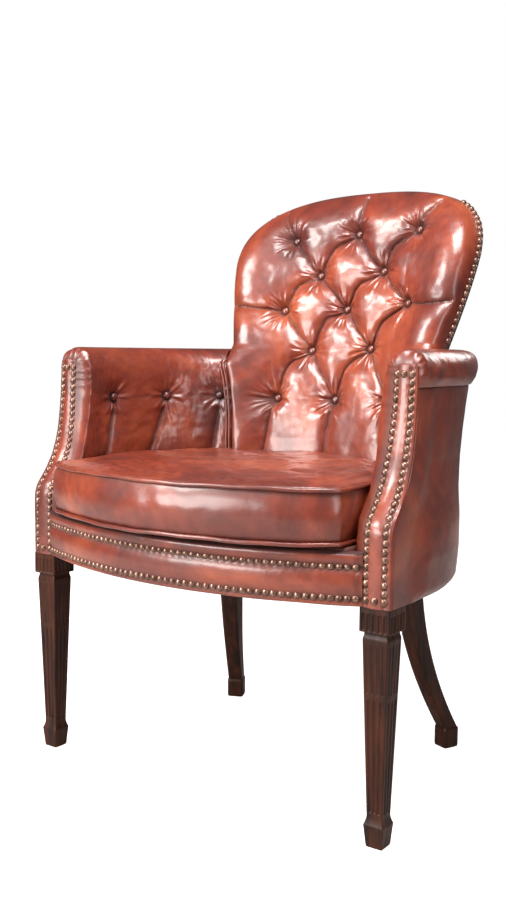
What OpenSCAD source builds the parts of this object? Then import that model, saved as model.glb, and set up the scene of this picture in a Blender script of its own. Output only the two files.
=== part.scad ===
/* [Overall] */
// Width over the outer faces of the front legs
seat_w = 666; // [640:2:690]
// Height of the top of the back above the floor
back_h = 958; // [944:1:972]
// Height of the top of the arms
arm_h = 672; // [664:1:680]
// Height of the top of the legs
rail_z = 331; // [322:1:338]
// Depth from the front face of the front legs to the outside of the back, at the seat frame
seat_d = 405; // [395:1:420]

/* [Back] */
// Half width of the back at the seat frame
base_w = 190; // [184:1:196]
// Half width of the back where it leaves the arms
waist_w = 209; // [206:1:212]
// Half width of the back at its shoulders
shoulder_w = 241; // [236:1:246]
// Height of the arch over the shoulders
arch_h = 127; // [120:1:132]
// Lean of the back per millimetre of height
rake = 0.178; // [0.15:0.002:0.2]
// Extra lean at the top of the back
curl = 30; // [20:1:40]
// Thickness of the tufted back pad
back_pad_t = 32.2; // [31:0.1:36]
// How far the buttons of the back are pulled in below the pad's surface
back_tuft = 24; // [16:1:25]
// Distance between two neighbouring buttons in the top row
tuft_w = 127; // [118:1:130]
// Height of the top row of back buttons
tuft_top = 879; // [870:1:884]

/* [Arms] */
// How far the arms bow outwards halfway along
arm_bow = 4; // [0:1:8]
// How far the arm fronts are swept back at the top
arm_sweep = 64.5; // [50:0.5:72]
// Height where the arm fronts start to sweep back
knee_z = 443; // [435:1:450]
// Depth of the inside arm pad's surface inside the outer wall
arm_d = 61.5; // [58:0.5:64]
// How far the arm buttons are pulled in below the pad's surface
arm_tuft = 11; // [6:1:13]
// Height of the arm buttons
arm_button_z = 587; // [578:1:595]
// Height of the outer part of the leather that wraps over the arm
cap_h = 52; // [47:1:56]
// Outward bulge of the leather over the arm
cap_bulge = 7; // [4:0.5:9]

/* [Seat] */
// How far the front rail bows forwards
bow = 70; // [55:1:76]
// Height of the seat rails
rail_h = 60; // [54:1:64]
// Thickness of the seat rails
rail_t = 21.5; // [18:0.5:23]
// Thickness of the bowed front rail
front_rail_t = 26; // [20:1:30]
// Height of the seat cushion between its two pipings
cushion_h = 73; // [62:1:80]
// Crown of the seat cushion in its middle
cushion_crown = 13; // [8:1:18]
// How far the cushion's front corners stand in front of the legs
cushion_front = 26; // [14:1:32]
// How far the cushion's front bows out between its corners
cushion_bow = 72; // [60:1:80]
// Diameter of the pipings
piping_d = 6.4; // [5:0.2:7]

/* [Legs] */
// Width of the fluted block at the top of the front legs
block_w = 46; // [42:1:48]
// Height of the fluted block
block_h = 33; // [30:1:36]
// Width of the front leg's shaft under the block
shaft_w = 39; // [37:1:41]
// Width of the front leg's shaft at its ankle
ankle_w = 24.5; // [23:0.5:27]
// Width of the front foot at its flare
foot_w = 31; // [29:0.5:34]
// Width of the sole of the front foot
sole_w = 25.5; // [23:0.5:28]
// Radius of the flutes
flute_r = 2; // [1.6:0.1:2.2]
// Width of the top of the sabre rear legs
rear_top_w = 36; // [34:1:40]
// Width of the foot of the sabre rear legs
rear_foot_w = 30; // [27:1:33]
// How far the rear feet are swept out behind their tops
rear_sweep = 76; // [60:1:85]

/* [Trim] */
// Diameter of the nail heads
nail_d = 10.8; // [9:0.2:11]
// Spacing of the nails
nail_pitch = 11.1; // [11:0.1:12]
// Diameter of the leather buttons
button_d = 14; // [12:0.5:17]
// Gap left between neighbouring pieces
gap = 0.3; // [0.25:0.05:0.35]

/* [Hidden] */

half_w = seat_w / 2;
shoulder_z = back_h - arch_h;
tub_n = 2.3;                       // squareness of the tub in plan
spread = 0.65;                     // how fast the tub flattens above the arms
arch_n = 2.57;                     // squareness of the arch over the back
turn_low = 92;                     // where the tub starts to turn, at the seat
turn_high = 152;                   // and at the arm tops
skirt_z = rail_z + gap;            // lower edge of the upholstery and of the rails
rail_top = skirt_z + rail_h;
panel_t = 5;                       // leather on board, outside arms and back
frame_d = panel_t + 2 * gap;       // depth of the frame's outer face inside the wall
frame_in = 33;                     // depth of the frame's inner face
rail_d = 20.5;                     // depth of the seat rails' outer face
rail_in = rail_d + rail_t;
strap_t = 1.3;
strap_w = 50;
strap_off = 0.8;                   // the straps' distance from the frame, which has flat sides
pad_d = frame_in + strap_off + 2 * (strap_t + gap) + gap;
back_d = pad_d + back_pad_t;       // depth of the inside back's crowns
post_in = 37.2;                    // depth of the arm post's inner face
post_l = 44;
arm_pad_d = post_in + 2.6;         // the arm bows away from the post
hessian_z = rail_top + gap + 2 * (strap_t + gap);
hessian_t = 0.8;
pad_z = hessian_z + hessian_t + gap;
deck_z = pad_z + 13.5;             // top of the seat deck
facing_t = 4;
facing_in = 42;                    // depth of the facing's inner edge
facing_z = arm_h - 20;             // top of the facing
arm_rail_h = 50;
arm_rail_z = arm_h - 22;           // top of the arm rail
roll_in = 8;                       // how far the outside panels tuck in at the bottom
roll_h = 14;
hoop_edge = 8.6;                   // padding round the edge of the back's frame
hoop_w = 40;                       // width of the uprights and of the crest rail
roll_w = 22;                       // width of the padded roll round the back's edge
lip = 3;                           // how far the seat lip reaches behind the rail's face
piping_r = piping_d / 2;
cushion_z = deck_z + gap + piping_r;    // height of the lower piping
leg_mid = half_w - block_w / 2;
ankle_z = 44;
sole_y = block_w / 2;
mid_y = (seat_d + lean(back_h) - cushion_front - cushion_bow) / 2;
tuft_drop = [0, 71, 134, 206, 293];     // drop of each button row below the top row
nail_low = 10.5;                   // height of the lowest nails above the leg tops
nail_high = 52.5;                  // height of the border's upper nails above the leg tops
belly = 7.3;                       // how far the walls bulge out low down
hollow = 6.3;                      // and draw in above the cushion
edge_drop = 12.5;                  // how far the back's padding falls away at its roll

// Shape of the tub: superellipse in plan, leaning back with height; d is the depth inside it
function clamp(v) = min(1, max(0, v));
function mix(a, b, k) = a + (b - a) * k;
function smooth(k) = clamp(k) * clamp(k) * (3 - 2 * clamp(k));
function rise(z) = clamp((z - rail_z) / (arm_h - rail_z));
function straight_a(z) = half_w + arm_bow * rise(z) + spread * max(0, z - arm_h);
bends = [[knee_z - 58, belly], [knee_z - 18, belly / 2], [knee_z + 27, -0.4 * hollow],
    [knee_z + 72, -hollow], [arm_button_z, -0.9 * hollow], [arm_h, 0]];
function bulge(z) = lookup(z, bends);
function tub_a(z) = straight_a(z) + bulge(z);
function turn_y(z) = mix(turn_low, turn_high, rise(z));
function lean(z) = rake * (z - rail_z) + curl * pow((z - rail_z) / (back_h - rail_z), 2);
function tub_b(z) = seat_d + lean(z) - turn_y(z) + bulge(z);
function wall_y(x, z, d) = turn_y(z)
    + (tub_b(z) - d) * pow(max(0, 1 - pow(abs(x) / (tub_a(z) - d), tub_n)), 1 / tub_n);
function on_back(x, z, d) = [x, wall_y(x, z, d), z];
// Heights from z1 to z2, with those where the walls bend
function levels(z1, z2) = concat([z1], [for (b = bends) if (b[0] > z1 + 2 && b[0] < z2 - 2) b[0]], [z2]);
function wall_x(y, z, d) = (tub_a(z) - d)
    * pow(max(0, 1 - pow(max(0, y - turn_y(z)) / (tub_b(z) - d), tub_n)), 1 / tub_n);

// Half width of the back, e further in from its edge
function back_w(z) = z <= arm_h ? mix(base_w, waist_w, rise(z))
    : mix(waist_w, shoulder_w, widen((z - arm_h) / (shoulder_z - arm_h)));
function widen(k) = (clamp(k) + sin(90 * clamp(k))) / 2;
function edge_w(z, e) = z <= shoulder_z ? back_w(z) - e
    : (shoulder_w - e) * pow(max(0, 1 - pow((z - shoulder_z) / (arch_h - e), arch_n)), 1 / arch_n);
function arch_z(x, e) = shoulder_z
    + (arch_h - e) * pow(max(0, 1 - pow(abs(x) / (shoulder_w - e), arch_n)), 1 / arch_n);
function on_arch(a, e, d) = on_back((cos(a) < 0 ? -1 : 1) * (shoulder_w - e)
    * pow(abs(cos(a)), 2 / arch_n), shoulder_z + (arch_h - e) * pow(abs(sin(a)), 2 / arch_n), d);

// Arms: v runs from 0 at the front to 1 where the tub turns and 2 at the back
function past_knee(z) = 6 * ln(1 + exp(min(50, (z - knee_z) / 6)));
function sweep_y(z) = z < knee_z - 40 ? 0 : arm_sweep * (1 - exp(-past_knee(z) / 55));
function sweep_slope(z) = (sweep_y(z + 1) - sweep_y(z - 1)) / 2;
function arm_front(z) = sweep_y(z) + facing_t + gap;
function end_angle(z, d) = acos(pow((back_w(z) + 2 * gap) / (tub_a(z) - d), tub_n / 2));
function turned(t, z, d) = [(tub_a(z) - d) * pow(abs(cos(t)), 2 / tub_n),
    turn_y(z) + (tub_b(z) - d) * pow(abs(sin(t)), 2 / tub_n), z];
function on_arm(v, z, d, start = 0) = v < 1
    ? on_side(mix(start / (turn_y(z) - arm_front(z)), 1, v), z, d)
    : turned((v - 1) * end_angle(z, d), z, d);
function on_side(v, z, d) = [mix(half_w, straight_a(z), v) + bulge(z) * smooth((v - 0.45) / 0.55) - d,
    mix(arm_front(z), turn_y(z), v), z];
function bow_y(x) = facing_t - 0.5 - bow * (1 - pow(x / (half_w - 36), 2));

// Solids between two grids of points: front faces out, back lies behind it
function quad(a, b, c, d) = [[a, b, c], [a, c, d]];
function flat(list) = [for (part = list) each part];
function steps(from, to, n) = [for (i = [0:n]) from + (to - from) * i / n];
module shell(front, back, loop = false, capped = false) {
    n = len(front) - 1;
    m = len(front[0]);
    last = loop ? m - 1 : m - 2;
    size = (n + 1) * m;
    function f(i, j) = i * m + j % m;
    function b(i, j) = size + i * m + j % m;
    faces = flat([
        for (i = [0:n - 1], j = [0:last]) quad(f(i, j), f(i, j + 1), f(i + 1, j + 1), f(i + 1, j)),
        for (i = [0:n - 1], j = [0:last]) quad(b(i, j), b(i + 1, j), b(i + 1, j + 1), b(i, j + 1)),
        for (j = [0:last]) quad(f(n, j), f(n, j + 1), b(n, j + 1), b(n, j)),
        if (!capped) for (j = [0:last]) quad(f(0, j), b(0, j), b(0, j + 1), f(0, j + 1)),
        if (capped) [[for (j = [m - 1:-1:0]) f(0, j)], [for (j = [0:m - 1]) b(0, j)]],
        if (!loop) for (i = [0:n - 1]) quad(f(i, 0), f(i + 1, 0), b(i + 1, 0), b(i, 0)),
        if (!loop) for (i = [0:n - 1])
            quad(f(i, m - 1), b(i, m - 1), b(i + 1, m - 1), f(i + 1, m - 1))
    ]);
    polyhedron(points = concat(flat(front), flat(back)), faces = faces, convexity = 6);
}

// Solid through closed sections, counter-clockwise seen from the far end
module loft(rings, closed = false, tips = []) {
    n = len(rings);
    m = len(rings[0]);
    last = closed ? n - 1 : n - 2;
    function r(i, j) = (i % n) * m + j % m;
    fan = len(tips) > 0;
    faces = flat([
        for (i = [0:last], j = [0:m - 1]) quad(r(i, j), r(i + 1, j), r(i + 1, j + 1), r(i, j + 1)),
        if (!closed && !fan) [[for (j = [0:m - 1]) j], [for (j = [m - 1:-1:0]) r(n - 1, j)]],
        if (fan) for (j = [0:m - 1]) [[j, r(0, j + 1), n * m], [r(n - 1, j + 1), r(n - 1, j), n * m + 1]]
    ]);
    polyhedron(points = concat(flat(rings), tips), faces = faces, convexity = 6);
}

module mirrored(side) {
    if (side > 0) children();
    else mirror([1, 0, 0]) children();
}
module centred() translate([0, -mid_y, 0]) children();
module stand(p, n) {
    translate(p)
        rotate([0, acos(n[2] / norm(n)), atan2(n[1], n[0])])
        children();
}

// Front legs: square, tapered and fluted, under a fluted block
shaft_top = rail_z - block_h;
function leg_half(z) = z < 2 ? sole_w / 2 - 1 + z / 2
    : z <= 31 ? mix(sole_w / 2, foot_w / 2, (z - 2) / 29)
    : z <= 35 ? foot_w / 2 - (z - 31) / 8
    : z <= ankle_z ? mix(foot_w / 2 - 0.5, ankle_w / 2, sin(90 * (z - 35) / (ankle_z - 35)))
    : z <= shaft_top - 12 ? mix(ankle_w, shaft_w, (z - ankle_z) / (shaft_top - 12 - ankle_z)) / 2
    : shaft_w / 2 - 2 * smooth((z - shaft_top + 8) / 8);
function flute_depth(z) = 0.8 * flute_r
    * smooth((z - ankle_z - 4) / 8) * smooth((shaft_top - 92 - z) / 8);
function leg_face(h, r, q) = [[-h, -h],
    for (c = [-0.52, 0, 0.52], s = [-1, -0.6, 0.6, 1]) [c * h + s * r, -h + (abs(s) < 1 ? q : 0)]];
function spun(p, k) = k == 0 ? p : spun([-p[1], p[0]], k - 1);
function leg_ring(z) = [for (k = [0:3], p = leg_face(leg_half(z),
    min(flute_r, 0.22 * leg_half(z)), flute_depth(z))) [spun(p, k)[0], spun(p, k)[1], z]];
module front_leg(side) {
    centred() mirrored(side) translate([leg_mid, block_w / 2, 0]) {
        loft([for (z = [0, 2, 31, 35, 39, ankle_z, ankle_z + 4, ankle_z + 12, 120,
            shaft_top - 100, shaft_top - 92, shaft_top - 12, shaft_top - 8, shaft_top]) leg_ring(z)],
            tips = [[0, 0, 0], [0, 0, shaft_top]]);
        translate([0, 0, shaft_top])
            linear_extrude(block_h - 8)
            difference() {
                square(block_w - 1, center = true);
                for (k = [0:3], i = [-2:2])
                    rotate(90 * k)
                    translate([i * block_w / 6, block_w / 2])
                    circle(r = flute_r, $fn = 16);
            }
        translate([-block_w / 2, -block_w / 2, rail_z - 8])
            cube([block_w, block_w, 8]);
    }
}
module front_leg_left() color("#3b1c12") front_leg(-1);
module front_leg_right() color("#3b1c12") front_leg(1);

// Rear legs: plain sabre legs, splayed out and back
rear_x = base_w - 8;
rear_y = seat_d - 60;
foot_h = 34;
splay = 41;
function sabre(z) = pow(1 - max(0, z - foot_h) / (rail_z - foot_h), 2);
function sabre_half(z) = z <= foot_h ? rear_foot_w / 2
    : mix(rear_foot_w - 3, rear_top_w, smooth((z - foot_h) / (rail_z - foot_h))) / 2;
function sabre_ring(z) = [for (k = [0:3], c = [-1, 1])
    let (h = sabre_half(z), p = spun([c * (h - 2), -h], k), a = -24 * (0.3 + 0.7 * sabre(z)))
    [rear_x + splay * sabre(z) + p[0] * cos(a) - p[1] * sin(a),
        rear_y + rear_sweep * sabre(z) + p[0] * sin(a) + p[1] * cos(a), z]];
module rear_leg(side) centred() mirrored(side)
    loft([for (z = concat([0], steps(foot_h, rail_z, 13), [])) sabre_ring(z)]);
module rear_leg_left() color("#3b1c12") rear_leg(-1);
module rear_leg_right() color("#3b1c12") rear_leg(1);

// Beech frame: seat rails
beech = "#c8a878";
rail_end = half_w - post_in - gap;
module front_seat_rail() color(beech) centred()
    translate([0, 0, skirt_z])
    linear_extrude(rail_h)
    polygon(concat([[-rail_end, facing_t + gap], [-border_end, facing_t + gap]],
        [for (x = steps(-border_end, border_end, 24)) [x, bow_y(x)]],
        [[border_end, facing_t + gap], [rail_end, facing_t + gap]],
        [for (x = steps(rail_end, -rail_end, 24)) [x, bow_y(x) + front_rail_t]]));
function arm_rows(z1, z2, n, d, start) = [for (z = steps(z1, z2, n))
    [for (v = arm_vs) if (v == 0 || v > 0.8) on_arm(v, z, d, start)]];
module side_seat_rail(side) color(beech) centred() mirrored(side)
    shell(arm_rows(skirt_z, rail_top, 1, rail_in, post_l + gap),
        arm_rows(skirt_z, rail_top, 1, rail_d, post_l + gap));
module side_seat_rail_left() side_seat_rail(-1);
module side_seat_rail_right() side_seat_rail(1);
function back_rows(z1, z2, n, d, e = 0) = [for (z = steps(z1, z2, n))
    [for (x = steps(1, -1, 12)) on_back(x * (back_w(z) - e), z, d)]];
module rear_seat_rail() color(beech) centred()
    shell(back_rows(skirt_z, rail_top, 1, rail_in), back_rows(skirt_z, rail_top, 1, rail_d));

// Beech blocks in the corners, each held by screws
block_z = skirt_z + 6;
block_hh = rail_h - 14;
function block_front(x) = bow_y(x) + front_rail_t + gap;
module corner_blocks() color("#b58f5c") centred() for (side = [-1, 1]) mirrored(side)
    translate([0, 0, block_z]) {
        linear_extrude(block_hh)
            polygon(concat([for (x = steps(rail_end - 55, rail_end - 1, 4)) [x, block_front(x)]],
                [[rail_end - 1, block_front(rail_end) + 14], [rail_end - 8, block_front(rail_end) + 24],
                    [rail_end - 55, block_front(rail_end - 55) + 8]]));
        linear_extrude(block_hh)
            polygon([for (x = [base_w - 52, base_w - 26, base_w - 10])
                [x, wall_y(x, skirt_z, rail_in + gap + 1)],
                for (x = [base_w - 10, base_w - 52]) [x, wall_y(x, skirt_z, rail_in + 28)]]);
    }
module screw(l) rotate_extrude($fn = 24)
    polygon([[0, 0], [2, 0], [2, l], [4.2, l + 2.4], [4.2, l + 3.2], [0, l + 3.2]]);
module corner_block_screws() color("#9a9a94") centred() for (side = [-1, 1]) mirrored(side) {
    x = rail_end - 40;
    front_y = block_front(x) + 19.5;
    stand([rail_end - 55 + 15, front_y - 44, block_z + 20], [0, 1, 0]) screw(46);
    rear_y = wall_y(base_w - 34, skirt_z, rail_in + 28);
    stand([base_w - 34, rear_y + 40, block_z + 20], [0, -1, 0]) screw(40.5);
}

// Arm posts on the front legs, arm rails behind them
module arm_post(side) color(beech) centred() mirrored(side)
    translate([half_w - post_in, 0, 0])
    rotate([90, 0, 90])
    linear_extrude(post_in - frame_d)
    polygon(concat([for (z = concat([skirt_z], steps(knee_z - 18, arm_rail_z, 18))) [arm_front(z), z]],
        [for (z = concat(steps(arm_rail_z, knee_z - 18, 18), [skirt_z])) [arm_front(z) + post_l, z]]));
module arm_post_left() arm_post(-1);
module arm_post_right() arm_post(1);
module arm_rail(side) color(beech) centred() mirrored(side)
    shell(arm_rows(arm_rail_z - arm_rail_h, arm_rail_z, 1, frame_in, post_l + gap),
        arm_rows(arm_rail_z - arm_rail_h, arm_rail_z, 1, frame_d + 1, post_l + gap));
module arm_rail_left() arm_rail(-1);
module arm_rail_right() arm_rail(1);

// Back frame: uprights stepped in above the arms, crest rail over them
function upright_cut(z) = z < arm_h + 1 ? 0 : hoop_edge;
function upright_rows(d) = [for (z = concat(levels(rail_top + gap, arm_h),
    steps(arm_h + 2, shoulder_z - gap, 4)))
    [for (e = [0, hoop_w]) on_back(back_w(z) - upright_cut(z) - e, z, d)]];
module back_upright(side) color(beech) centred() mirrored(side)
    shell(upright_rows(frame_in), upright_rows(frame_d));
module back_upright_left() back_upright(-1);
module back_upright_right() back_upright(1);
arch_marks = [0, 0.14, 0.28, 0.42, 0.55, 0.67, 0.77, 0.85, 0.92, 0.965, 0.99, 1];
arch_angles = [for (k = [-11:11]) 90 - sign(k) * asin(pow(arch_marks[abs(k)], arch_n / 2))];
function crest_rows(d) = [for (e = [hoop_edge + hoop_w, hoop_edge])
    [for (a = arch_angles) on_arch(180 - a, e, d)]];
module crest_rail() color(beech) centred()
    shell(crest_rows(frame_in), crest_rows(frame_d));
stay_z = 424;
module back_stay_rail() color(beech) centred()
    shell(back_rows(stay_z, stay_z + 40, 1, frame_in, hoop_w + gap),
        back_rows(stay_z, stay_z + 40, 1, frame_d, hoop_w + gap));

// Webbing, hessian and deck of the seat, dust cover under it
module strap(x1, x2, y1, y2, z) translate([x1, y1, z]) cube([x2 - x1, y2 - y1, strap_t]);
module seat_webbing_long() color("#b9a67e") centred() for (k = [-2:2]) {
    x = k * 76;
    far = abs(x) + strap_w / 2;
    strap(x - strap_w / 2, x + strap_w / 2, bow_y(far) + 8,
        wall_y(far, rail_top, frame_in + 1.5), rail_top + gap);
}
module seat_webbing_cross() color("#b9a67e") centred() for (k = [0:3]) {
    y = 58 + k * 68;
    far = wall_x(y + strap_w, rail_top, frame_in + 1.5);
    strap(-far, far, y, y + strap_w, rail_top + 2 * gap + strap_t);
}
function bay(d_side, d_rear, front, z) = let (w = half_w - d_side) concat(
    [for (t = steps(180, 0, 24)) [w * sign(cos(t)) * pow(abs(cos(t)), 2 / tub_n),
        turn_y(z) + (tub_b(z) - d_rear) * pow(sin(t), 2 / tub_n)]],
    [for (x = steps(1, -1, 16)) [x * w, bow_y(x * w) + front]]);
module seat_hessian() color("#a58f62") centred() translate([0, 0, hessian_z])
    linear_extrude(hessian_t)
    polygon(bay(arm_d, frame_in + 2, 7, rail_top));
module seat_deck() color("#5a2417") centred() translate([0, 0, pad_z])
    linear_extrude(deck_z - pad_z)
    polygon(bay(arm_d + gap, back_d + gap, lip + gap, pad_z));
module dust_cover() color("#222222") centred() difference() {
    translate([0, 0, rail_z - 1.2])
        linear_extrude(1.2)
        polygon(bay(rail_d + 8, rail_d + 8, 6, rail_z));
    for (side = [-1, 1]) mirrored(side) {
        translate([leg_mid - block_w / 2 - 1, -5, rail_z - 5]) cube([block_w + 12, block_w + 6, 10]);
        translate([rear_x - 30, rear_y - 30, rail_z - 5]) cube([60, 60, 10]);
    }
}

// Webbing of the back, vertical straps first, cross straps over them
function band_rows(x1, x2, zs, d) = [for (z = zs) [for (x = steps(x1, x2, 16)) on_back(x, z, d)]];
module back_strap(x1, x2, zs, d)
    shell(band_rows(x1, x2, zs, d + strap_t), band_rows(x1, x2, zs, d));
module back_webbing_long() color("#b9a67e") centred() for (x = [-100, 0, 100])
    back_strap(x + strap_w / 2, x - strap_w / 2,
        concat(levels(stay_z + 8, arm_h),
            steps(arm_h + 45, arch_z(abs(x) + strap_w / 2, hoop_edge + hoop_w) + 15, 4)),
        frame_in + strap_off);
module back_webbing_cross() color("#b9a67e") centred() for (z = [520, 625, 730, 830])
    back_strap(back_w(z) - hoop_edge - 14, -back_w(z) + hoop_edge + 14,
        concat(levels(z - strap_w / 2, z), [z + strap_w / 2]), frame_in + strap_off + gap + strap_t);

// Front border: leather over the front rail, with a band between two nail rows and a rolled lip
leather = "#7d3323";
lip_z = deck_z - 0.5;
border_out = [[2, skirt_z], [3.4, skirt_z + 3], [3, skirt_z + nail_low], [7.5, skirt_z + 21],
    [9, skirt_z + 32], [7, skirt_z + 43], [3.2, skirt_z + nail_high], [7.5, skirt_z + nail_high + 6.5],
    [9.3, lip_z - 13.5], [8, lip_z - 9], [4, lip_z - 6], [-1, lip_z - 3.5]];
border_in = [[gap, skirt_z + 0.5], [gap, skirt_z + 3], [gap, skirt_z + nail_low], [gap, skirt_z + 21],
    [gap, skirt_z + 32], [gap, skirt_z + 43], [gap, skirt_z + nail_high], [gap, rail_top - 0.6],
    [gap, rail_top + 1.5], [-1, rail_top + 5], [-lip + 0.5, rail_top + 7], [-lip, lip_z - 6.5]];
border_end = half_w - facing_in - gap;
function border_rows(profile) = [for (p = profile)
    [for (x = steps(border_end, -border_end, 28)) [x, bow_y(x) - p[0], p[1]]]];
module front_border() color(leather) centred()
    shell(border_rows(border_out), border_rows(border_in));

// Inside back: deep-buttoned pad; u is 0 in the middle and 1 at the outer buttons
tuft_z = [for (drop = tuft_drop) tuft_top - drop];
function tuft_x(z) = tuft_w * (1 - 0.00027 * (tuft_top - z));
function row_of(z) = z >= tuft_z[0] ? 0 : z <= tuft_z[4] ? 4
    : let (k = [for (i = [0:3]) if (z <= tuft_z[i] && z > tuft_z[i + 1]) i][0])
        k + (tuft_z[k] - z) / (tuft_z[k] - tuft_z[k + 1]);
function fade(u, z) = (1 - 0.8 * smooth((abs(u) - 1) / 0.5))
    * (1 - 0.75 * smooth((z - tuft_z[0]) / 45)) * (1 - 0.85 * smooth((tuft_z[4] - z) / 75));
function dent(u, z) = let (c = max(-1, min(1, u)), q = row_of(z),
    s1 = abs(sin(90 * (2 * c + q))), s2 = abs(sin(90 * (2 * c - q))))
    fade(u, z) * (1 - pow(max(s1, s2), 0.5) * (0.68 + 0.32 * pow(min(s1, s2), 0.5)));
pad_gap = roll_w + 1.5;            // the roll's inner side is flat between its sections
function pad_edge(z) = z < arm_h + 1 ? gap : pad_gap;
function pad_x(u, z) = abs(u) <= 1 ? u * tuft_x(z)
    : sign(u) * mix(tuft_x(z), edge_w(z, pad_edge(z)), (abs(u) - 1) / 0.6);
pad_cols = concat(steps(1.6, 1.15, 3), steps(1, -1, 16), steps(-1.15, -1.6, 3));
pad_zs = concat([for (z = levels(pad_z, arm_button_z)) if (z < tuft_z[4] - 14) z],
    [for (k = [3:-1:0]) each steps(tuft_z[k + 1], mix(tuft_z[k + 1], tuft_z[k], 0.75), 3)],
    [tuft_z[0]]);
pad_rows = concat([for (z = pad_zs) if (z < arm_h) z], [arm_h, arm_h + 2],
    [for (z = pad_zs) if (z > arm_h + 3) z]);
function fall(e) = 53 * (1 - sqrt(1 - pow(1 - min(62, e) / 62, 2)));
function pad_depth(u, z) = z < arm_h + 1 ? (abs(u) > 1.59 ? back_d - 18
        : back_d - back_tuft * dent(u, z) - 2.5 * smooth((abs(u) - 1.2) / 0.4))
    : abs(u) > 1.59 ? back_d - edge_drop
    : back_d - back_tuft * dent(u, z) - fall(edge_w(z, 0) - abs(pad_x(u, z)));
function top_point(u, k, d) = let (x = pad_x(u, tuft_z[0]), xt = 0.965 * x)
    on_back(mix(x, xt, k), mix(tuft_z[0], arch_z(xt, pad_gap), k), d);
function pad_skin(front) = concat(
    [for (z = pad_rows) [for (u = pad_cols) on_back(pad_x(u, z), z, front ? pad_depth(u, z) : pad_d)]],
    [for (k = [0.45, 1]) [for (u = pad_cols)
        top_point(u, k, front ? back_d - (k == 1 ? edge_drop : top_drop(u, k)) : pad_d)]]);
function top_drop(u, k) = back_tuft * (1 - 0.8 * k) * dent(u, tuft_z[0])
    + (abs(u) > 1.59 ? edge_drop : fall(edge_w(tuft_z[0], 0) - abs(pad_x(u, tuft_z[0]))));
module inside_back_pad() color(leather) centred()
    shell(pad_skin(true), pad_skin(false));

// Padded roll round the edge of the back, over the frame
roll_shape = [[hoop_edge - gap, frame_d], [hoop_edge - gap, pad_d], [roll_w, pad_d],
    [roll_w, back_d - edge_drop], [17, back_d - 16.5], [9, back_d - 25.5], [3, back_d - 36.7],
    [0, back_d - 53], [0, frame_d]];
function side_ring(z) = [for (p = roll_shape) on_back(back_w(z) - p[0], z, p[1])];
function flipped(points) = [for (p = points) [-p[0], p[1], p[2]]];
module back_edge_roll() color(leather) centred()
    loft(concat([for (z = steps(arm_h + 2 + gap, shoulder_z - 14, 6)) side_ring(z)],
        [for (a = arch_angles) [for (p = roll_shape) on_arch(180 - a, p[0], p[1])]],
        [for (z = steps(shoulder_z - 14, arm_h + 2 + gap, 6)) flipped(side_ring(z))]));

// Outside back: leather on board
function tuck(z) = roll_in * pow(1 - clamp((z - skirt_z) / roll_h), 2);
function panel_rows(d) = concat(
    [for (z = concat([for (k = [0, 3, 6, 10]) skirt_z + k], levels(skirt_z + roll_h, arm_h),
        steps(arm_h + 40, shoulder_z + 20, 4)))
        [for (x = steps(1, -1, 20)) on_back(x * edge_w(z, 0), z, d + tuck(z))]],
    [for (k = [0.5, 1]) [for (x = steps(1, -1, 20))
        let (xb = x * edge_w(shoulder_z + 20, 0), xt = 0.965 * xb)
        on_back(mix(xb, xt, k), mix(shoulder_z + 20, arch_z(xt, 0), k), d)]]);
module outside_back_panel() color(leather) centred()
    shell(panel_rows(panel_t), panel_rows(0));

// Inside arms: pad and leather from the deck up over the arm rail and down to the outside seam
cap_z = arm_h - cap_h + gap;
wall_zs = concat([pad_z], [for (k = [-18, -3, 12, 27, 47, 72, 97]) knee_z + k],
    [for (k = [-22, 0, 24]) arm_button_z + k]);
cap_out = concat([for (z = wall_zs) [arm_d, z]], [[arm_d - 2, arm_h - 36], [arm_d - 8, arm_h - 18],
    [arm_d - 18, arm_h - 6], [arm_d - 31, arm_h], [18, arm_h - 0.5], [5, arm_h - 5], [-3, arm_h - 13],
    [-cap_bulge, arm_h - 25], [-cap_bulge + 1, arm_h - 40], [-1, cap_z]]);
cap_under = concat([for (z = wall_zs) [arm_pad_d, z]], [[arm_pad_d, arm_h - 36],
    [arm_pad_d, arm_rail_z - 4], [arm_pad_d - 0.4, arm_rail_z + gap],
    [30, arm_rail_z + gap], [18, arm_rail_z + gap], [8, arm_rail_z + gap],
    [panel_t, arm_rail_z + gap], [panel_t, arm_h - 32], [panel_t, arm_h - 42], [panel_t, cap_z]]);
arm_vs = [0, 0.08, 0.3, 0.6, 0.86, 0.97, 1.08, 1.2, 1.34, 1.48, 1.6, 1.72, 1.82, 1.91, 2];
arm_button_v = [0.97, 1.48, 1.91];
front_gap = 1.2;                   // the covers stop behind the facing, which is flat between its rows
function arm_dent(v, z) = max([for (b = arm_button_v) let (q = 1 - smooth(abs(v - b) / 0.13))
    q * (z >= arm_button_z ? 1 - smooth((z - arm_button_z) / 40)
        : mix(0.3, 1, 1 - smooth((arm_button_z - z) / 40)))]);
function cap_row(p, out, inside) = [for (v = arm_vs)
    on_arm(v, p[1], p[0] - (out && inside ? arm_tuft * arm_dent(v, p[1]) : 0)
        - (out && inside && v == 0 ? 8 : 0), front_gap)];
function cap_rows(profile, out) = [for (i = [0:len(profile) - 1]) cap_row(profile[i], out, i < len(wall_zs))];
module inside_arm_pad(side) color(leather) centred() mirrored(side)
    shell(cap_rows(cap_out, true), cap_rows(cap_under, false));
module inside_arm_pad_left() inside_arm_pad(-1);
module inside_arm_pad_right() inside_arm_pad(1);

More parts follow.
